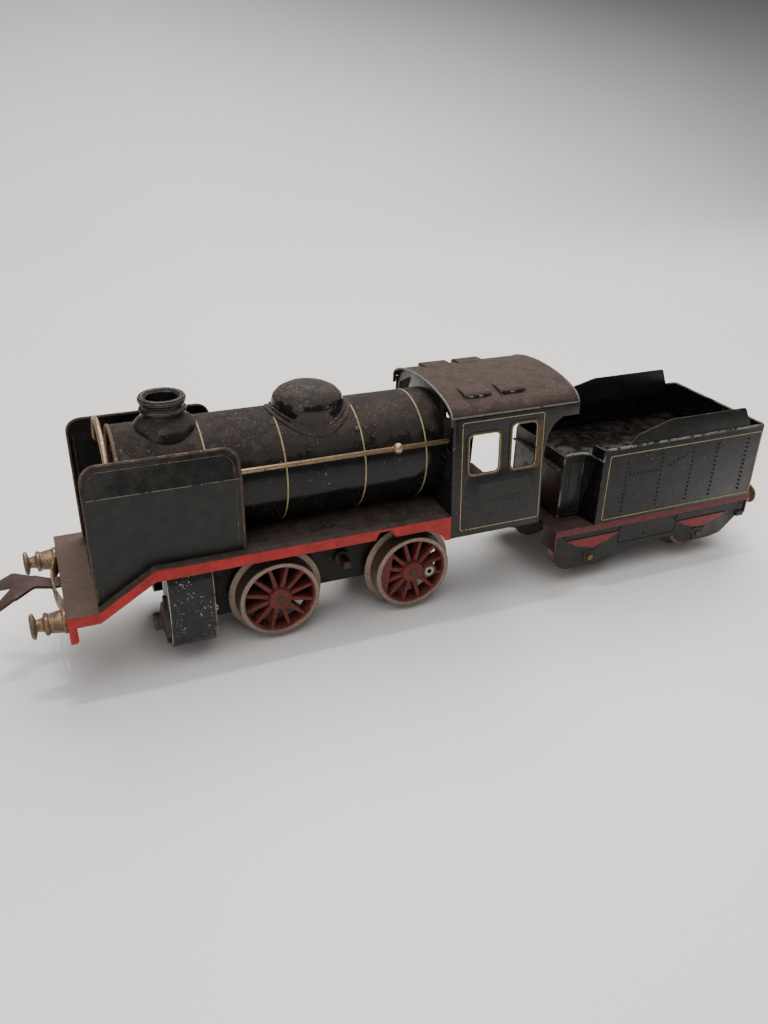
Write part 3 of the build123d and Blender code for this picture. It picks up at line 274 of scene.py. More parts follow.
def make_finishes():
    return {
        "boiler": enamel("boiler enamel", BLACK, 0.14, dust=0.6, film=0.03, chips=1.0,
                         bare=(0.30, 0.25, 0.20), waves=0.9, grit=0.6, shine=0.25, pale=0.9),
        "dome": enamel("dome enamel", BLACK, 0.10, dust=0.6, film=0.03, chips=1.7, bare=RUSTY,
                       waves=1.8, seed=2, shine=0.4),
        "chimney": enamel("chimney enamel", BLACK, 0.28, dust=0.35, film=0.10, chips=1.0, edge_wear=0.8,
                          bare=(0.24, 0.23, 0.21), grit=0.8, seed=4),
        "sheet": enamel("side sheet enamel", GREEN_BLACK, 0.36, dust=0.8, film=0.10, chips=0.9,
                        bare=(0.12, 0.075, 0.05), waves=1.2, seed=5),
        "bead": enamel("bead enamel", BROWN_BLACK, 0.5, dust=0.9, film=0.5, chips=1.6,
                       bare=(0.2, 0.13, 0.09), seed=6),
        "board": enamel("board enamel", (0.018, 0.013, 0.011), 0.45, dust=0.75, film=0.3, chips=0.8,
                        grit=1.4, seed=8),
        "deck": enamel("deck enamel", (0.095, 0.062, 0.047), 0.5, dust=1.0, film=0.5, chips=0.6,
                       grit=1.2, seed=7, pale=1.7),
        "red": enamel("red enamel", RED, 0.3, dust=0.4, film=0.05, chips=1.3, bare=(0.10, 0.04, 0.035),
                      seed=9),
        "roof": enamel("roof enamel", (0.036, 0.026, 0.020), 0.5, dust=0.95, film=0.35, chips=1.2,
                       bare=(0.02, 0.016, 0.014), grit=1.2, seed=10, pale=1.2),
        "cab": enamel("cab enamel", GREEN_BLACK, 0.24, dust=0.7, film=0.08, chips=0.9, edge_wear=0.35,
                      bare=(0.22, 0.15, 0.08), waves=0.8, seed=12),
        "tender": enamel("tender enamel", GREEN_BLACK, 0.30, dust=0.6, film=0.08, chips=1.0,
                         edge_wear=0.45, bare=(0.20, 0.19, 0.18), waves=0.8, seed=13),
        # Darker and less dusty than the tender sides, with no worn edges: painted shade that makes the rivets
        # and pressed ridges read as dark dots and lines, on the tender's own black paint.
        "emboss_shaded": enamel("embossed enamel", BLACK, 0.28, dust=0.4, film=0.06, chips=0.4, edge_wear=0.0,
                         seed=13),
        # The bunker's inner faces and floor: its own black paint with rusty chips, made near-black and nearly
        # dust-free, darker than the outside, as painted shade inside the bunker.
        "tender_inside_shaded": enamel("bunker enamel", (0.0035, 0.0034, 0.0034), 0.22, dust=0.10, film=0.04,
                                chips=1.3, bare=(0.09, 0.035, 0.02), seed=14),
        "dull_red": enamel("worn red enamel", DULL_RED, 0.45, dust=0.5, film=0.2, chips=1.2,
                           bare=(0.2, 0.15, 0.13), seed=15),
        "nose": enamel("nose plate enamel", WINE, 0.4, dust=0.35, film=0.15, chips=0.9, bare=RUSTY,
                       seed=16),
        "cylinder": enamel("cylinder enamel", (0.011, 0.011, 0.011), 0.42, dust=0.5, film=0.12,
                           chips=1.45, edge_wear=0.9, bare=(0.46, 0.44, 0.42), seed=17),
        "cover": enamel("cover enamel", (0.035, 0.026, 0.022), 0.6, dust=0.7, film=0.4, chips=1.2,
                        bare=RUSTY, seed=18),
        "wheel": enamel("wheel enamel", (0.125, 0.018, 0.015), 0.42, dust=0.3, film=0.24, chips=1.2,
                        edge_wear=0.55, bare=(0.36, 0.24, 0.20), seed=19),
        "tyre": metal("tyre metal", (0.29, 0.225, 0.18), (0.17, 0.125, 0.095), 0.36, 0.30,
                      (0.09, 0.05, 0.035), 20, 0.7),
        "motor": enamel("motor plate enamel", (0.012, 0.010, 0.009), 0.5, dust=0.5, film=0.25,
                        chips=1.4, bare=RUSTY, seed=21),
        "brass": metal("tarnished brass", (0.40, 0.28, 0.16), (0.15, 0.09, 0.05), 0.42, 0.75,
                       (0.10, 0.065, 0.045), 22, 0.8),
        "clock_brass": metal("clock brass", (0.62, 0.45, 0.2), (0.42, 0.28, 0.11), 0.3, 0.2,
                             (0.12, 0.08, 0.04), 23),
        "rail": metal("rail metal", (0.44, 0.32, 0.20), (0.24, 0.16, 0.095), 0.38, 0.4,
                      (0.12, 0.075, 0.05), 24, 0.8),
        "guide": metal("guide lacquer", (0.30, 0.19, 0.08), (0.14, 0.09, 0.04), 0.5, 0.6,
                       (0.05, 0.03, 0.022), 25, 0.3),
        "rust": metal("browned steel", (0.075, 0.034, 0.026), (0.03, 0.016, 0.013), 0.6, 0.5,
                      (0.04, 0.018, 0.013), 26, 0.2),
        "steel": metal("dull steel", (0.42, 0.40, 0.37), (0.2, 0.18, 0.16), 0.38, 0.4,
                       (0.09, 0.06, 0.045), 27),
        "dark_steel": metal("dark steel", (0.09, 0.06, 0.045), (0.035, 0.024, 0.018), 0.55, 0.5,
                            (0.03, 0.018, 0.013), 28, 0.4),
        "lining": enamel("lining paint", (0.32, 0.245, 0.125), 0.42, dust=0.2, film=0.2, chips=1.5,
                         edge_wear=0.2, bare=(0.02, 0.018, 0.015), seed=31),
        "frame_gold": enamel("window frame lacquer", (0.075, 0.048, 0.026), 0.4, dust=0.3, film=0.4,
                             chips=1.5, bare=(0.03, 0.02, 0.014), seed=32),
        "rim": enamel("worn rim", (0.012, 0.013, 0.012), 0.3, dust=0.25, film=0.12, chips=1.3,
                      edge_wear=0.72, bare=(0.34, 0.33, 0.31), seed=33),
        "roof_rim": enamel("roof rim", (0.040, 0.032, 0.027), 0.4, dust=0.4, film=0.3, chips=1.3,
                           edge_wear=0.95, bare=(0.32, 0.28, 0.25), seed=34),
        "ring": enamel("boiler ring", (0.13, 0.080, 0.048), 0.42, dust=0.3, film=0.4, chips=1.4,
                       bare=(0.38, 0.30, 0.22), seed=35),
        "spring_red": enamel("spring red", (0.20, 0.022, 0.026), 0.4, dust=0.3, film=0.2, chips=1.3,
                             bare=(0.02, 0.016, 0.015), seed=36),
        # Near-black with no dust: painted shade that stands in for the dark inside of the roof vents' slots.
        "slot": enamel("slot shadow", (0.004, 0.0035, 0.003), 0.8, dust=0.0, film=0.05, chips=0.3,
                       seed=37),
        "blue_steel": metal("spring steel", (0.12, 0.15, 0.22), (0.06, 0.07, 0.1), 0.3, 0.2,
                            (0.05, 0.04, 0.03), 29),
    }


FINISH = make_finishes()


# ---- putting pieces in place ---------------------------------------------------------------


def add_mesh(name, mesh, finish, body, smooth_deg=SMOOTH_DEG):
    piece = bpy.data.objects.new(name, mesh)
    bpy.context.collection.objects.link(piece)
    mesh.materials.clear()
    mesh.materials.append(FINISH[finish])
    for face in mesh.polygons:
        face.use_smooth = True
    mesh.set_sharp_from_angle(angle=math.radians(smooth_deg))
    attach(piece, body)
    return piece


def flag_edges(bm, faces):
    layer = bm.faces.layers.float.get("edge") or bm.faces.layers.float.new("edge")
    for face in faces:
        face[layer] = 1.0


def soften(node, finish, bevel_mm, areas=()):
    """Stands a copy with rounded, wear-flagged edges in for a CAD node. Each of the areas is a pair
    (finish, test on a face's centre and normal) for the faces that are painted differently."""
    source = frame["nodes"][node]
    bm = bmesh.new()
    bm.from_mesh(source.data)
    bm.transform(source.matrix_world)
    bmesh.ops.remove_doubles(bm, verts=bm.verts, dist=0.004 * MM)
    bmesh.ops.dissolve_limit(bm, angle_limit=math.radians(0.6), verts=bm.verts, edges=bm.edges)
    sharp = [e for e in bm.edges
             if len(e.link_faces) == 2 and e.calc_face_angle(0) > math.radians(SHARP_DEG)]
    bm.faces.layers.float.new("edge")
    if bevel_mm:
        result = bmesh.ops.bevel(bm, geom=sharp, offset=bevel_mm * MM, offset_type="OFFSET", segments=2,
                                 profile=0.5, affect="EDGES", clamp_overlap=True)
        flag_edges(bm, result["faces"])
    bmesh.ops.triangulate(bm, faces=[f for f in bm.faces if len(f.verts) > 4])
    mesh = bpy.data.meshes.new(node + "_finished")
    bm.to_mesh(mesh)
    bm.free()
    piece = add_mesh(node + "_finished", mesh, finish, BODY_OF[node], FOLD_DEG.get(node, SMOOTH_DEG))
    for number, (area_finish, inside) in enumerate(areas, 1):
        mesh.materials.append(FINISH[area_finish])
        for face in mesh.polygons:
            if inside(face.center, face.normal):
                face.material_index = number
    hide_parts(node)
    return piece


def dress(node, finish):
    """Gives a CAD node that stays as it is its finish."""
    for holder in frame["nodes"][node].material_slots:
        holder.material = FINISH[finish]


def tube(name, points, radius_mm, finish, body, closed):
    """A round bead or wire that follows straight runs between points."""
    curve = bpy.data.curves.new(name, "CURVE")
    curve.dimensions = "3D"
    curve.bevel_depth = radius_mm * MM
    curve.bevel_resolution = 4
    curve.use_fill_caps = True
    line = curve.splines.new("POLY")
    line.points.add(len(points) - 1)
    for vertex, place in zip(line.points, points):
        vertex.co = (*place, 1.0)
    line.use_cyclic_u = closed
    temp = bpy.data.objects.new(name + "_curve", curve)
    bpy.context.collection.objects.link(temp)
    mesh = bpy.data.meshes.new_from_object(temp.evaluated_get(bpy.context.evaluated_depsgraph_get()))
    bpy.data.objects.remove(temp)
    bpy.data.curves.remove(curve)
    mesh.name = name
    layer = mesh.attributes.new("edge", "FLOAT", "FACE")
    layer.data.foreach_set("value", [0.6] * len(mesh.polygons))
    return add_mesh(name, mesh, finish, body, ROUND_DEG)


def paint_loop(name, points, width_mm, out, finish, body, thick_mm=0.06):
    """A closed lining stripe: a flat ribbon laid on a surface whose outward direction is `out`."""
    bm = bmesh.new()
    out = Vector(out).normalized()
    rows = []
    for index, place in enumerate(points):
        along = (points[(index + 1) % len(points)] - place).normalized()
        back = (place - points[index - 1]).normalized()
        tangent = (along + back).normalized()
        side = out.cross(tangent).normalized()
        widen = 1.0 / max(0.5, abs(tangent.dot(along)))
        half = side * width_mm * MM * 0.5 * widen
        lift = out * thick_mm * MM
        rows.append([bm.verts.new(place + lift - half), bm.verts.new(place + lift + half)])
    for first, second in zip(rows, rows[1:] + rows[:1]):
        bm.faces.new([first[0], first[1], second[1], second[0]])
    bmesh.ops.recalc_face_normals(bm, faces=bm.faces)
    if sum((f.normal.dot(out) for f in bm.faces)) < 0:
        bmesh.ops.reverse_faces(bm, faces=bm.faces)
    bmesh.ops.solidify(bm, geom=bm.faces, thickness=thick_mm * MM * 1.6)
    mesh = bpy.data.meshes.new(name)
    bm.to_mesh(mesh)
    bm.free()
    return add_mesh(name, mesh, finish, body, ROUND_DEG)


# ---- the first pass: every CAD node gets its finish ----------------------------------------


SOFT = {
    "board_screws": ("dark_steel", 0.1), "boiler_barrel": ("boiler", 0.12), "buffer_beam": ("red", 0.12),
    # The bunker floor takes the darker bunker finish, painted shade inside the bunker.
    "bunker_floor": ("tender_inside_shaded", 0.1), "cab_body": ("cab", 0.12), "cab_floor": ("board", 0.1),
    "cab_roof": ("roof", 0.3), "cab_window_frames": ("frame_gold", 0.08), "chimney": ("chimney", 0.1),
    "coping_boards": ("tender", 0.14), "coupler_guide": ("guide", 0.08), "cylinder_covers": ("cover", 0.15),
    "cylinder_left": ("cylinder", 0.25), "cylinder_right": ("cylinder", 0.25), "drawbar": ("motor", 0.12),
    "front_buffers": ("brass", 0.1), "front_coupler_hook": ("rust", 0.2),
    "front_hook_pin": ("dark_steel", 0.1),
    "handrail_knobs": ("rail", 0), "handrail_wire": ("rail", 0), "motor_plate_left": ("motor", 0.1),
    "motor_plate_right": ("motor", 0.1), "rear_coupler_hook": ("rust", 0.2),
    "rear_hook_pin": ("dark_steel", 0.1),
    "smoke_deflector_left": ("sheet", 0.12), "smoke_deflector_right": ("sheet", 0.12),
    "smokebox_door": ("boiler", 0.1), "steam_dome": ("dome", 0.3),
    "tender_buffers": ("brass", 0.1), "tender_front_plate": ("nose", 0.14),
    "winding_arbor": ("rust", 0.2),
}
# Folds shallower than the usual smoothing angle stay crisp on these.
FOLD_DEG = {"smoke_deflector_left": 12, "smoke_deflector_right": 12,
            "cylinder_left": 12, "cylinder_right": 12}
PLAIN = {
    "axle_gear": "clock_brass", "brake_rod": "steel", "crank_eyelets": "steel", "front_axle": "dark_steel",
    "governor_spindle": "clock_brass", "great_wheel": "clock_brass", "intermediate_gear": "clock_brass",
    "loco_drawbar_pin": "dark_steel", "mainspring": "blue_steel", "motor_pillars": "steel",
    "motor_screws": "steel", "ratchet_click": "steel", "rear_axle": "dark_steel", "reversing_rod": "steel",
    "tender_drawbar_pin": "dark_steel", "tender_front_axle": "brass", "tender_rear_axle": "brass",
}


def first_pass():
    for node, (finish, bevel) in SOFT.items():
        soften(node, finish, bevel)
    for node, finish in PLAIN.items():
        dress(node, finish)
    edge_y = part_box("running_board")[1].y - 0.8 * MM
    deck_end = spot(RAMP_START, 0, 0).x
    soften("running_board", "board", 0.12,
           [("deck", lambda c, n: c.x < deck_end and n.z > 0.5),
            ("red", lambda c, n: abs(c.y) > edge_y and n.z < 0.5)])
    red_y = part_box("tender_frame")[1].y - 0.9 * MM
    soften("tender_frame", "nose", 0.12, [("dull_red", lambda c, n: abs(c.y) > red_y and abs(n.z) < 0.6)])
    # The bunker's inner faces take the darker finish that paints in the shade inside the bunker.
    soften("tender_body", "tender", 0.14, [("tender_inside_shaded", in_bunker)])
    for word in ("left", "right"):
        soften(f"tender_side_frame_{word}", "tender", 0.14, [("spring_red", on_spring)])
    for name in ("front_driver_left", "front_driver_right", "rear_driver_left", "rear_driver_right"):
        soften(name, "wheel", 0.08, [("tyre", outside_radius(name, 13.2))])
    for name in ("tender_front_wheels", "tender_rear_wheels"):
        soften(name, "motor", 0.08, [("tyre", outside_radius(name, 7.6))])


def outside_radius(node, radius_mm):
    """A test for the faces of a wheel that lie further out than a radius."""
    low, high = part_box(node)
    hub = (low + high) / 2
    return lambda c, n: math.hypot(c.x - hub.x, c.z - hub.z) > radius_mm * MM


def on_spring(centre, normal):
    """The embossed leaf springs stand proud of the side frame, above the axle boxes."""
    proud = abs(centre.y) > (SIDE_FRAME_Y + 0.25) * MM
    return proud and centre.z > 14.8 * MM and centre.x < spot(150, 0, 0).x


def in_bunker(centre, normal):
    """The inner faces of the bunker walls."""
    half = TENDER_HALF if centre.x > spot(WALL_FRONT - 1.2, 0, 0).x else NOSE_HALF
    return abs(centre.y) < (half - 0.5) * MM and centre.x < spot(WALL_REAR - 0.5, 0, 0).x


# ---- what lies on the CAD pieces: beads, lining, rivets ------------------------------------


def belongs(piece):
    return piece


def rounded(points, radius_mm, closed=False, steps=6):
    """The path with each corner turned into a short curve."""
    result = []
    count = len(points)
    for index, corner in enumerate(points):
        if not closed and index in (0, count - 1):
            result.append(corner)
            continue
        before, after = points[index - 1] - corner, points[(index + 1) % count] - corner
        reach = min(radius_mm * MM, before.length * 0.45, after.length * 0.45)
        start, end = corner + before.normalized() * reach, corner + after.normalized() * reach
        for step in range(steps + 1):
            t = step / steps
            result.append(start * (1 - t) ** 2 + corner * 2 * t * (1 - t) + end * t * t)
    return result


def studs(name, places, out, radius_mm, height_mm, finish, body, sides=10):
    """Round-headed rivets, one at each place, all pointing the same way out. The rings of a head are
    shares of its radius and height, and the first lies below the surface."""
    out = Vector(out).normalized()
    across = out.orthogonal().normalized()
    other = out.cross(across)
    bm = bmesh.new()
    for place in places:
        rings = []
        for radius, height in ((1.0, -0.15), (1.0, 0.2), (0.86, 0.62), (0.5, 0.92)):
            ring = []
            for step in range(sides):
                angle = 2 * math.pi * step / sides
                flat = (across * math.cos(angle) + other * math.sin(angle)) * radius * radius_mm
                ring.append(bm.verts.new(place + (flat + out * height * height_mm) * MM))
            rings.append(ring)
        for lower, upper in zip(rings, rings[1:]):
            for step in range(sides):
                after = (step + 1) % sides
                bm.faces.new([lower[step], lower[after], upper[after], upper[step]])
        bm.faces.new(rings[-1])
        bm.faces.new(rings[0][::-1])
    mesh = bpy.data.meshes.new(name)
    bm.to_mesh(mesh)
    bm.free()
    return belongs(add_mesh(name, mesh, finish, body, ROUND_DEG))


def bead(name, points, radius_mm, finish, body, closed=False):
    return belongs(tube(name, points, radius_mm, finish, body, closed))


def lining(name, points, out, body, width_mm=0.31):
    path = rounded(points, 0.9, True, 4)
    return belongs(paint_loop(name, path, width_mm, out, "lining", body))


def boiler_ring(name, profile, finish, steps=96):
    """A hoop of (radius, station) pairs, turned round the part of the boiler above the board."""
    foot = math.asin((BOILER_Z - BOARD_Z) / BOILER_R)
    centre = Vector((REAR_AXLE_X, 0.0, BOILER_Z * MM))
    start, end = -foot, math.pi + foot
    bm = bmesh.new()
    rings = []
    for radius, station in profile:
        ring = []
        for step in range(steps + 1):
            angle = start + (end - start) * step / steps
            across, height = radius * math.cos(angle) * MM, radius * math.sin(angle) * MM
            ring.append(bm.verts.new(centre + Vector((station * MM, across, height))))
        rings.append(ring)
    for lower, upper in zip(rings, rings[1:]):
        for step in range(steps):
            bm.faces.new([lower[step], lower[step + 1], upper[step + 1], upper[step]])
    bmesh.ops.remove_doubles(bm, verts=bm.verts, dist=0.002 * MM)
    bmesh.ops.recalc_face_normals(bm, faces=bm.faces)
    mesh = bpy.data.meshes.new(name)
    bm.to_mesh(mesh)
    bm.free()
    return belongs(add_mesh(name, mesh, finish, "locomotive", 40))


def boiler_details():
    for number, x in enumerate(BAND_STATIONS):
        boiler_ring(f"boiler_band_{number}", [(BOILER_R, x - 0.27), (BOILER_R + 0.05, x - 0.24),
                                              (BOILER_R + 0.05, x + 0.24), (BOILER_R, x + 0.27)], "lining")
    x = SEAM_STATION
    boiler_ring("smokebox_seam", [(BOILER_R, x - 0.4), (BOILER_R + 0.16, x - 0.15),
                                  (BOILER_R + 0.16, x + 0.15), (BOILER_R, x + 0.4)], "boiler")
    front, roll = (BOILER_LOW.x - REAR_AXLE_X) / MM + 0.1, 0.62
    turns = [2 * math.pi * step / 14 for step in range(15)]
    boiler_ring("boiler_front_roll", [(BOILER_R - 0.25 + roll * math.cos(a), front + roll * math.sin(a))
                                      for a in turns], "ring")
    lean = math.radians(45.4)
    out = Vector((0, -math.cos(lean), math.sin(lean)))
    place = spot(-20.7, 0, BOILER_Z) + out * BOILER_R * MM
    studs("boiler_stud", [place], out, 1.0, 0.7, "rust", "locomotive", 16)


def deflector_path(inset, lift):
    """Up the front of a side sheet, round its top corners and down its rear, on the left side."""
    front, rear, top = SHEET_FRONT + inset, SHEET_REAR - inset, SHEET_TOP - inset
    corner = 5.0 - inset * 0.6
    path = [(front, 33.0 + inset), (front, top - corner)]
    path += [(front + corner - corner * math.cos(a), top - corner + corner * math.sin(a))
             for a in (math.pi / 2 * step / 7 for step in range(1, 8))]
    path += [(rear - corner + corner * math.sin(a), top - corner + corner * math.cos(a))
             for a in (math.pi / 2 * step / 7 for step in range(8))]
    path += [(rear, SHEET_KNEE), (rear, BOARD_Z + inset)]
    placed = []
    for x, z in path:
        lean = max(0.0, z - SHEET_KNEE) * SHEET_LEAN
        placed.append((x, SHEET_Y + lift - lean, z))
    return placed


def deflector_details():
    for side, word in SIDES:
        edge = [spot(x, side * y, z) for x, y, z in deflector_path(0.15, 0.0)]
        bead(f"deflector_bead_{word}", edge, 0.52, "bead", "locomotive")
        line = [spot(x, side * y, z) for x, y, z in deflector_path(2.0, 0.26)]
        bead(f"deflector_crease_{word}", line, 0.17, "bead", "locomotive")
        # A thin bead in the darker, less dusty chimney enamel along each sheet's knee is painted shade for
        # the fold line, on a small raised ridge.
        fold = [spot(x, side * (SHEET_Y + 0.26), SHEET_KNEE) for x in (SHEET_FRONT + 0.8, SHEET_REAR - 0.8)]
        bead(f"deflector_fold_{word}", fold, 0.16, "chimney", "locomotive")


def roof_details():
    def arch(x, angles):
        return [spot(x, ROOF_HALF * math.cos(a), ROOF_EAVE_Z + (ROOF_RISE - 0.25) * math.sin(a))
                for a in angles]

    sweep = [math.pi * step / 40 for step in range(41)]
    outline = arch(ROOF_FRONT + 0.3, sweep) + arch(ROOF_REAR - 0.3, sweep[::-1])
    bead("cab_roof_rim", outline, 0.4, "roof_rim", "locomotive", True)
    for side, word in SIDES:
        for number, (x0, x1) in enumerate(ROOF_VENTS):
            # A near-black bead along each vent's lower edge is painted shade for the slot behind it.
            slot_shade_line = [spot(x, side * 19.75, 84.9) for x in (x0 + 1.4, x1 - 1.4)]
            bead(f"vent_slot_{word}_{number}", slot_shade_line, 0.42, "slot", "locomotive")


def cab_half(z):
    return CAB_BASE_HALF - CAB_LEAN * (z - CAB_BASE_Z)


def cab_panel(name, x0, x1, z0, z1, thick_mm, side):
    """A plain plate with softened edges, proud of the cab side."""
    bm = bmesh.new()
    inner = [bm.verts.new(spot(x, side * (cab_half(z) - 0.05), z)) for x, z in
             ((x0, z0), (x1, z0), (x1, z1), (x0, z1))]
    outer = [bm.verts.new(spot(x, side * (cab_half(z) + thick_mm), z)) for x, z in
             ((x0 + 0.3, z0 + 0.3), (x1 - 0.3, z0 + 0.3), (x1 - 0.3, z1 - 0.3), (x0 + 0.3, z1 - 0.3))]
    bm.faces.new(outer)
    for index in range(4):
        after = (index + 1) % 4
        bm.faces.new([inner[index], inner[after], outer[after], outer[index]])
    bmesh.ops.recalc_face_normals(bm, faces=bm.faces)
    mesh = bpy.data.meshes.new(name)
    bm.to_mesh(mesh)
    bm.free()
    return belongs(add_mesh(name, mesh, "cab", "locomotive", 20))


def cab_details():
    for side, word in SIDES:
        out = (0, side, CAB_LEAN)
        frame_line = [spot(x, side * (cab_half(z) + 0.01), z) for x, z in
                      ((15.2, 36.0), (48.8, 36.0), (48.8, 77.7), (15.2, 77.7))]
        lining(f"cab_lining_{word}", frame_line, out, "locomotive")
        for number, (x0, x1, z0, z1) in enumerate(CAB_WINDOWS):
            hole = [spot(x, side * (cab_half(z) + 0.33), z)
                    for x, z in ((x0, z0), (x1, z0), (x1, z1), (x0, z1))]
            bead(f"window_line_{word}_{number}", rounded(hole, 2.4, True), 0.16, "lining",
                 "locomotive", True)
        for number, (z0, z1) in enumerate(((47.0, 53.7), (40.0, 46.0))):
            cab_panel(f"cab_plate_{word}_{number}", 22.5, 44.5, z0, z1, 0.16, side)
        fold = [spot(11.9, side * (cab_half(z) - 0.35), z) for z in (CAB_BASE_Z, 79.5)]
        bead(f"cab_front_fold_{word}", fold, 0.6, "cab", "locomotive")


def tender_rivets():
    """Stations and heights of the embossed rows on one tender side."""
    places = []
    for x in (89.0, 106.0, 121.5, 134.0, 150.0):
        places += [(x, 30.5 + 1.92 * step) for step in range(13)]
    places += [(90.8 + 1.9 * step, 46.5) for step in range(8)]
    places += [(108.0 + 2.1 * step, 46.9 + 0.9 * step) for step in range(1, 6)]
    return places


def tender_details():
    for side, word in SIDES:
        out = (0, side, 0)
        panel = [spot(x, side * (TENDER_HALF + 0.01), z) for x, z in
                 ((80.0, 28.0), (156.3, 28.0), (156.3, 56.0), (80.0, 56.0))]
        lining(f"tender_lining_{word}", panel, out, "tender", 0.34)
        rows = tender_rivets()
        # The outside rivets take the darker pressed-work finish, painted shade on the rivet heads.
        studs(f"tender_rivets_{word}", [spot(x, side * TENDER_HALF, z) for x, z in rows], out,
              0.48, 0.42, "emboss_shaded", "tender")
        inner = TENDER_HALF - 0.6
        # The inner rivets take the same darker bunker finish, painted shade inside the bunker.
        studs(f"tender_rivets_inside_{word}", [spot(x, side * inner, z) for x, z in rows if z > 45.2],
              (0, -side, 0), 0.42, 0.24, "tender_inside_shaded", "tender")
        bolts = [spot(x, side * SIDE_FRAME_Y, z) for x, z in
                 ((63.9, 22.7), (90.7, 22.0), (103.8, 17.1), (119.6, 21.2))]
        studs(f"side_frame_bolts_{word}", bolts, out, 0.85, 0.6, "tender", "tender", 16)
        # The pressed crease takes the darker pressed-work finish, painted shade along it.
        crease = [spot(x, side * SIDE_FRAME_Y, z) for x, z in
                  ((90.6, 23.4), (90.6, 15.4), (91.6, 14.9), (119.0, 14.9), (119.8, 15.6), (119.8, 23.4))]
        bead(f"side_frame_crease_{word}", rounded(crease, 1.0), 0.24, "emboss_shaded", "tender")
        # The nose ridges take the darker pressed-work finish, painted shade along them.
        for number, inset in enumerate((0.0, 1.5)):
            ridge = [spot(x, side * NOSE_HALF, z) for x, z in
                     ((67.6 + inset, 27.6 + inset), (74.4 - inset * 0.6, 27.6 + inset),
                      (74.4 - inset * 0.6, 52.9 - inset), (67.6 + inset, 52.9 - inset))]
            bead(f"nose_ridge_{word}_{number}", rounded(ridge, 0.9, True), 0.32, "emboss_shaded", "tender", True)
        top = TENDER_NOSE_TOP
        nose = [spot(NOSE_FRONT - 0.3, side * NOSE_HALF, 27.0), spot(NOSE_FRONT - 0.3, side * NOSE_HALF, top),
                spot(NOSE_BACK, side * NOSE_HALF, top), spot(WALL_FRONT, side * (TENDER_HALF - 0.2), top)]
        bead(f"nose_rim_{word}", rounded(nose, 2.2), 0.45, "rim", "tender")
        board_y = COPING_FOOT_Y - COPING_LEAN * (COPING_RIVET_Z - TENDER_WALL_TOP)
        row = [spot(110.0 + 2.4 * step, side * board_y, COPING_RIVET_Z) for step in range(15)]
        studs(f"coping_rivets_{word}", row, out, 0.26, 0.16, "tender", "tender", 8)
    half, z = TENDER_HALF - 0.2, TENDER_WALL_TOP - 0.1
    rear = WALL_REAR - 0.2
    wall = [spot(WALL_FRONT, -half, TENDER_NOSE_TOP), spot(WALL_FRONT, -half, z), spot(rear, -half, z),
            spot(rear, half, z), spot(WALL_FRONT, half, z), spot(WALL_FRONT, half, TENDER_NOSE_TOP)]
    bead("bunker_rim", rounded(wall, 1.6), 0.5, "rim", "tender")


def details():
    boiler_details()
    deflector_details()
    roof_details()
    cab_details()
    tender_details()


# ---- floor, light and camera ---------------------------------------------------------------


def set_stage():
    """A pale table that curves up behind into a backdrop, grey-blue from nearly half a metre up."""
    width, near, bend, radius, top = 4.0, -3.0, 0.7, 0.6, 4.0
    profile = [(near, 0.0)]
    profile += [(bend + radius * math.sin(a), radius - radius * math.cos(a))
                for a in (math.pi / 2 * step / 24 for step in range(25))]
    profile.append((bend + radius, top))
    verts = [(x, y, z) for y, z in profile for x in (-width, width)]
    faces = [(2 * n, 2 * n + 1, 2 * n + 3, 2 * n + 2) for n in range(len(profile) - 1)]
    mesh = bpy.data.meshes.new("table_top")
    mesh.from_pydata(verts, [], faces)
    for face in mesh.polygons:
        face.use_smooth = True
    floor = bpy.data.objects.new("table_top", mesh)
    bpy.context.collection.objects.link(floor)
    floor.location.z = cad_box[0][2] - 0.02 * MM
    s = Shader("pale table")
    speck = s.noise(0.4, 4.0)
    pale = s.mix(s.noise(0.004, 2.0), (0.72, 0.70, 0.685), (0.80, 0.78, 0.765))
    color = s.mix(s.step(s.axis(s.place, "Z"), 0.02, 0.45), pale, (0.085, 0.095, 0.115))
    mesh.materials.append(s.finish(color, s.blend(speck, 0.36, 0.52), 0.0, s.bump(speck, 0.01)))


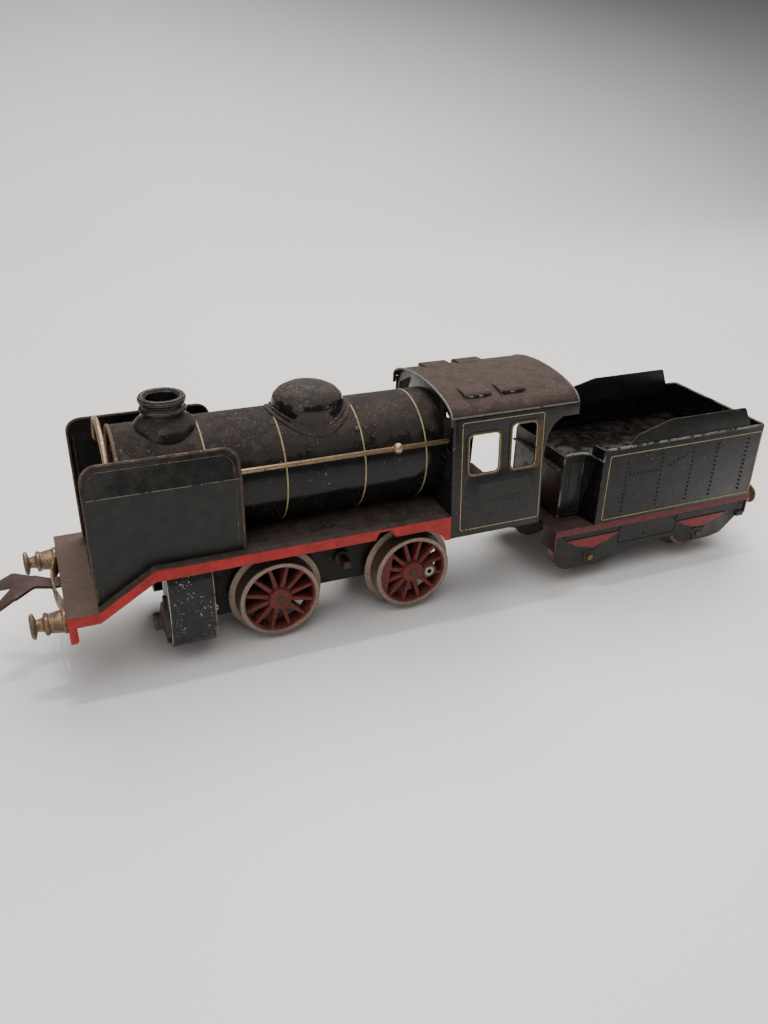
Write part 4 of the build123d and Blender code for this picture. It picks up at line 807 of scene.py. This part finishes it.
def area_light(name, place, target, width, height, power, color):
    data = bpy.data.lights.new(name, "AREA")
    data.shape = "RECTANGLE"
    data.size, data.size_y = width, height
    data.energy = power
    data.color = color
    lamp = bpy.data.objects.new(name, data)
    bpy.context.collection.objects.link(lamp)
    lamp.location = place
    lamp.rotation_euler = (Vector(target) - Vector(place)).to_track_quat("-Z", "Y").to_euler()


def set_lights():
    middle = (0.0, 0.0, 0.04)
    area_light("window", (0.35, 0.55, 0.95), middle, 1.1, 0.8, 17.0, (1.0, 0.98, 0.95))
    area_light("ceiling", (-0.3, -0.35, 1.3), middle, 1.4, 1.4, 17.0, (1.0, 0.99, 0.98))
    area_light("room", (-1.0, -0.9, 0.5), middle, 0.9, 0.7, 3.0, (1.0, 0.97, 0.94))
    for number, x in enumerate((-0.06, 0.06)):
        area_light(f"lamp_{number}", (x, 0.12, 1.5), middle, 0.05, 0.05, 3.0, (1.0, 0.97, 0.93))
    world = bpy.data.worlds.new("studio")
    world.use_nodes = True
    world.node_tree.nodes["Background"].inputs["Color"].default_value = (0.62, 0.63, 0.65, 1)
    world.node_tree.nodes["Background"].inputs["Strength"].default_value = 0.30
    bpy.context.scene.world = world


def set_camera():
    """The camera stands at a fixed place from the middle of the object's foot."""
    low, high = cad_box
    foot = Vector(((low[0] + high[0]) / 2, (low[1] + high[1]) / 2, low[2]))
    yaw, pitch, roll = (math.radians(a) for a in (CAMERA_YAW, CAMERA_PITCH, CAMERA_ROLL))
    forward = Vector((math.sin(yaw) * math.cos(pitch), math.cos(yaw) * math.cos(pitch), math.sin(pitch)))
    level = Vector((math.cos(yaw), -math.sin(yaw), 0.0))
    upright = level.cross(forward)
    right = level * math.cos(roll) + upright * math.sin(roll)
    up = upright * math.cos(roll) - level * math.sin(roll)
    data = bpy.data.cameras.new("camera")
    data.sensor_fit = "HORIZONTAL"
    data.sensor_width = CAMERA_SENSOR
    data.lens = CAMERA_LENS
    data.clip_start = 0.01
    camera = bpy.data.objects.new("camera", data)
    bpy.context.collection.objects.link(camera)
    turn = Matrix((right, up, -forward)).transposed().to_4x4()
    camera.matrix_world = Matrix.Translation(foot + Vector(CAMERA_AT) * MM) @ turn
    bpy.context.scene.camera = camera


first_pass()
details()
set_stage()
set_lights()
set_camera()
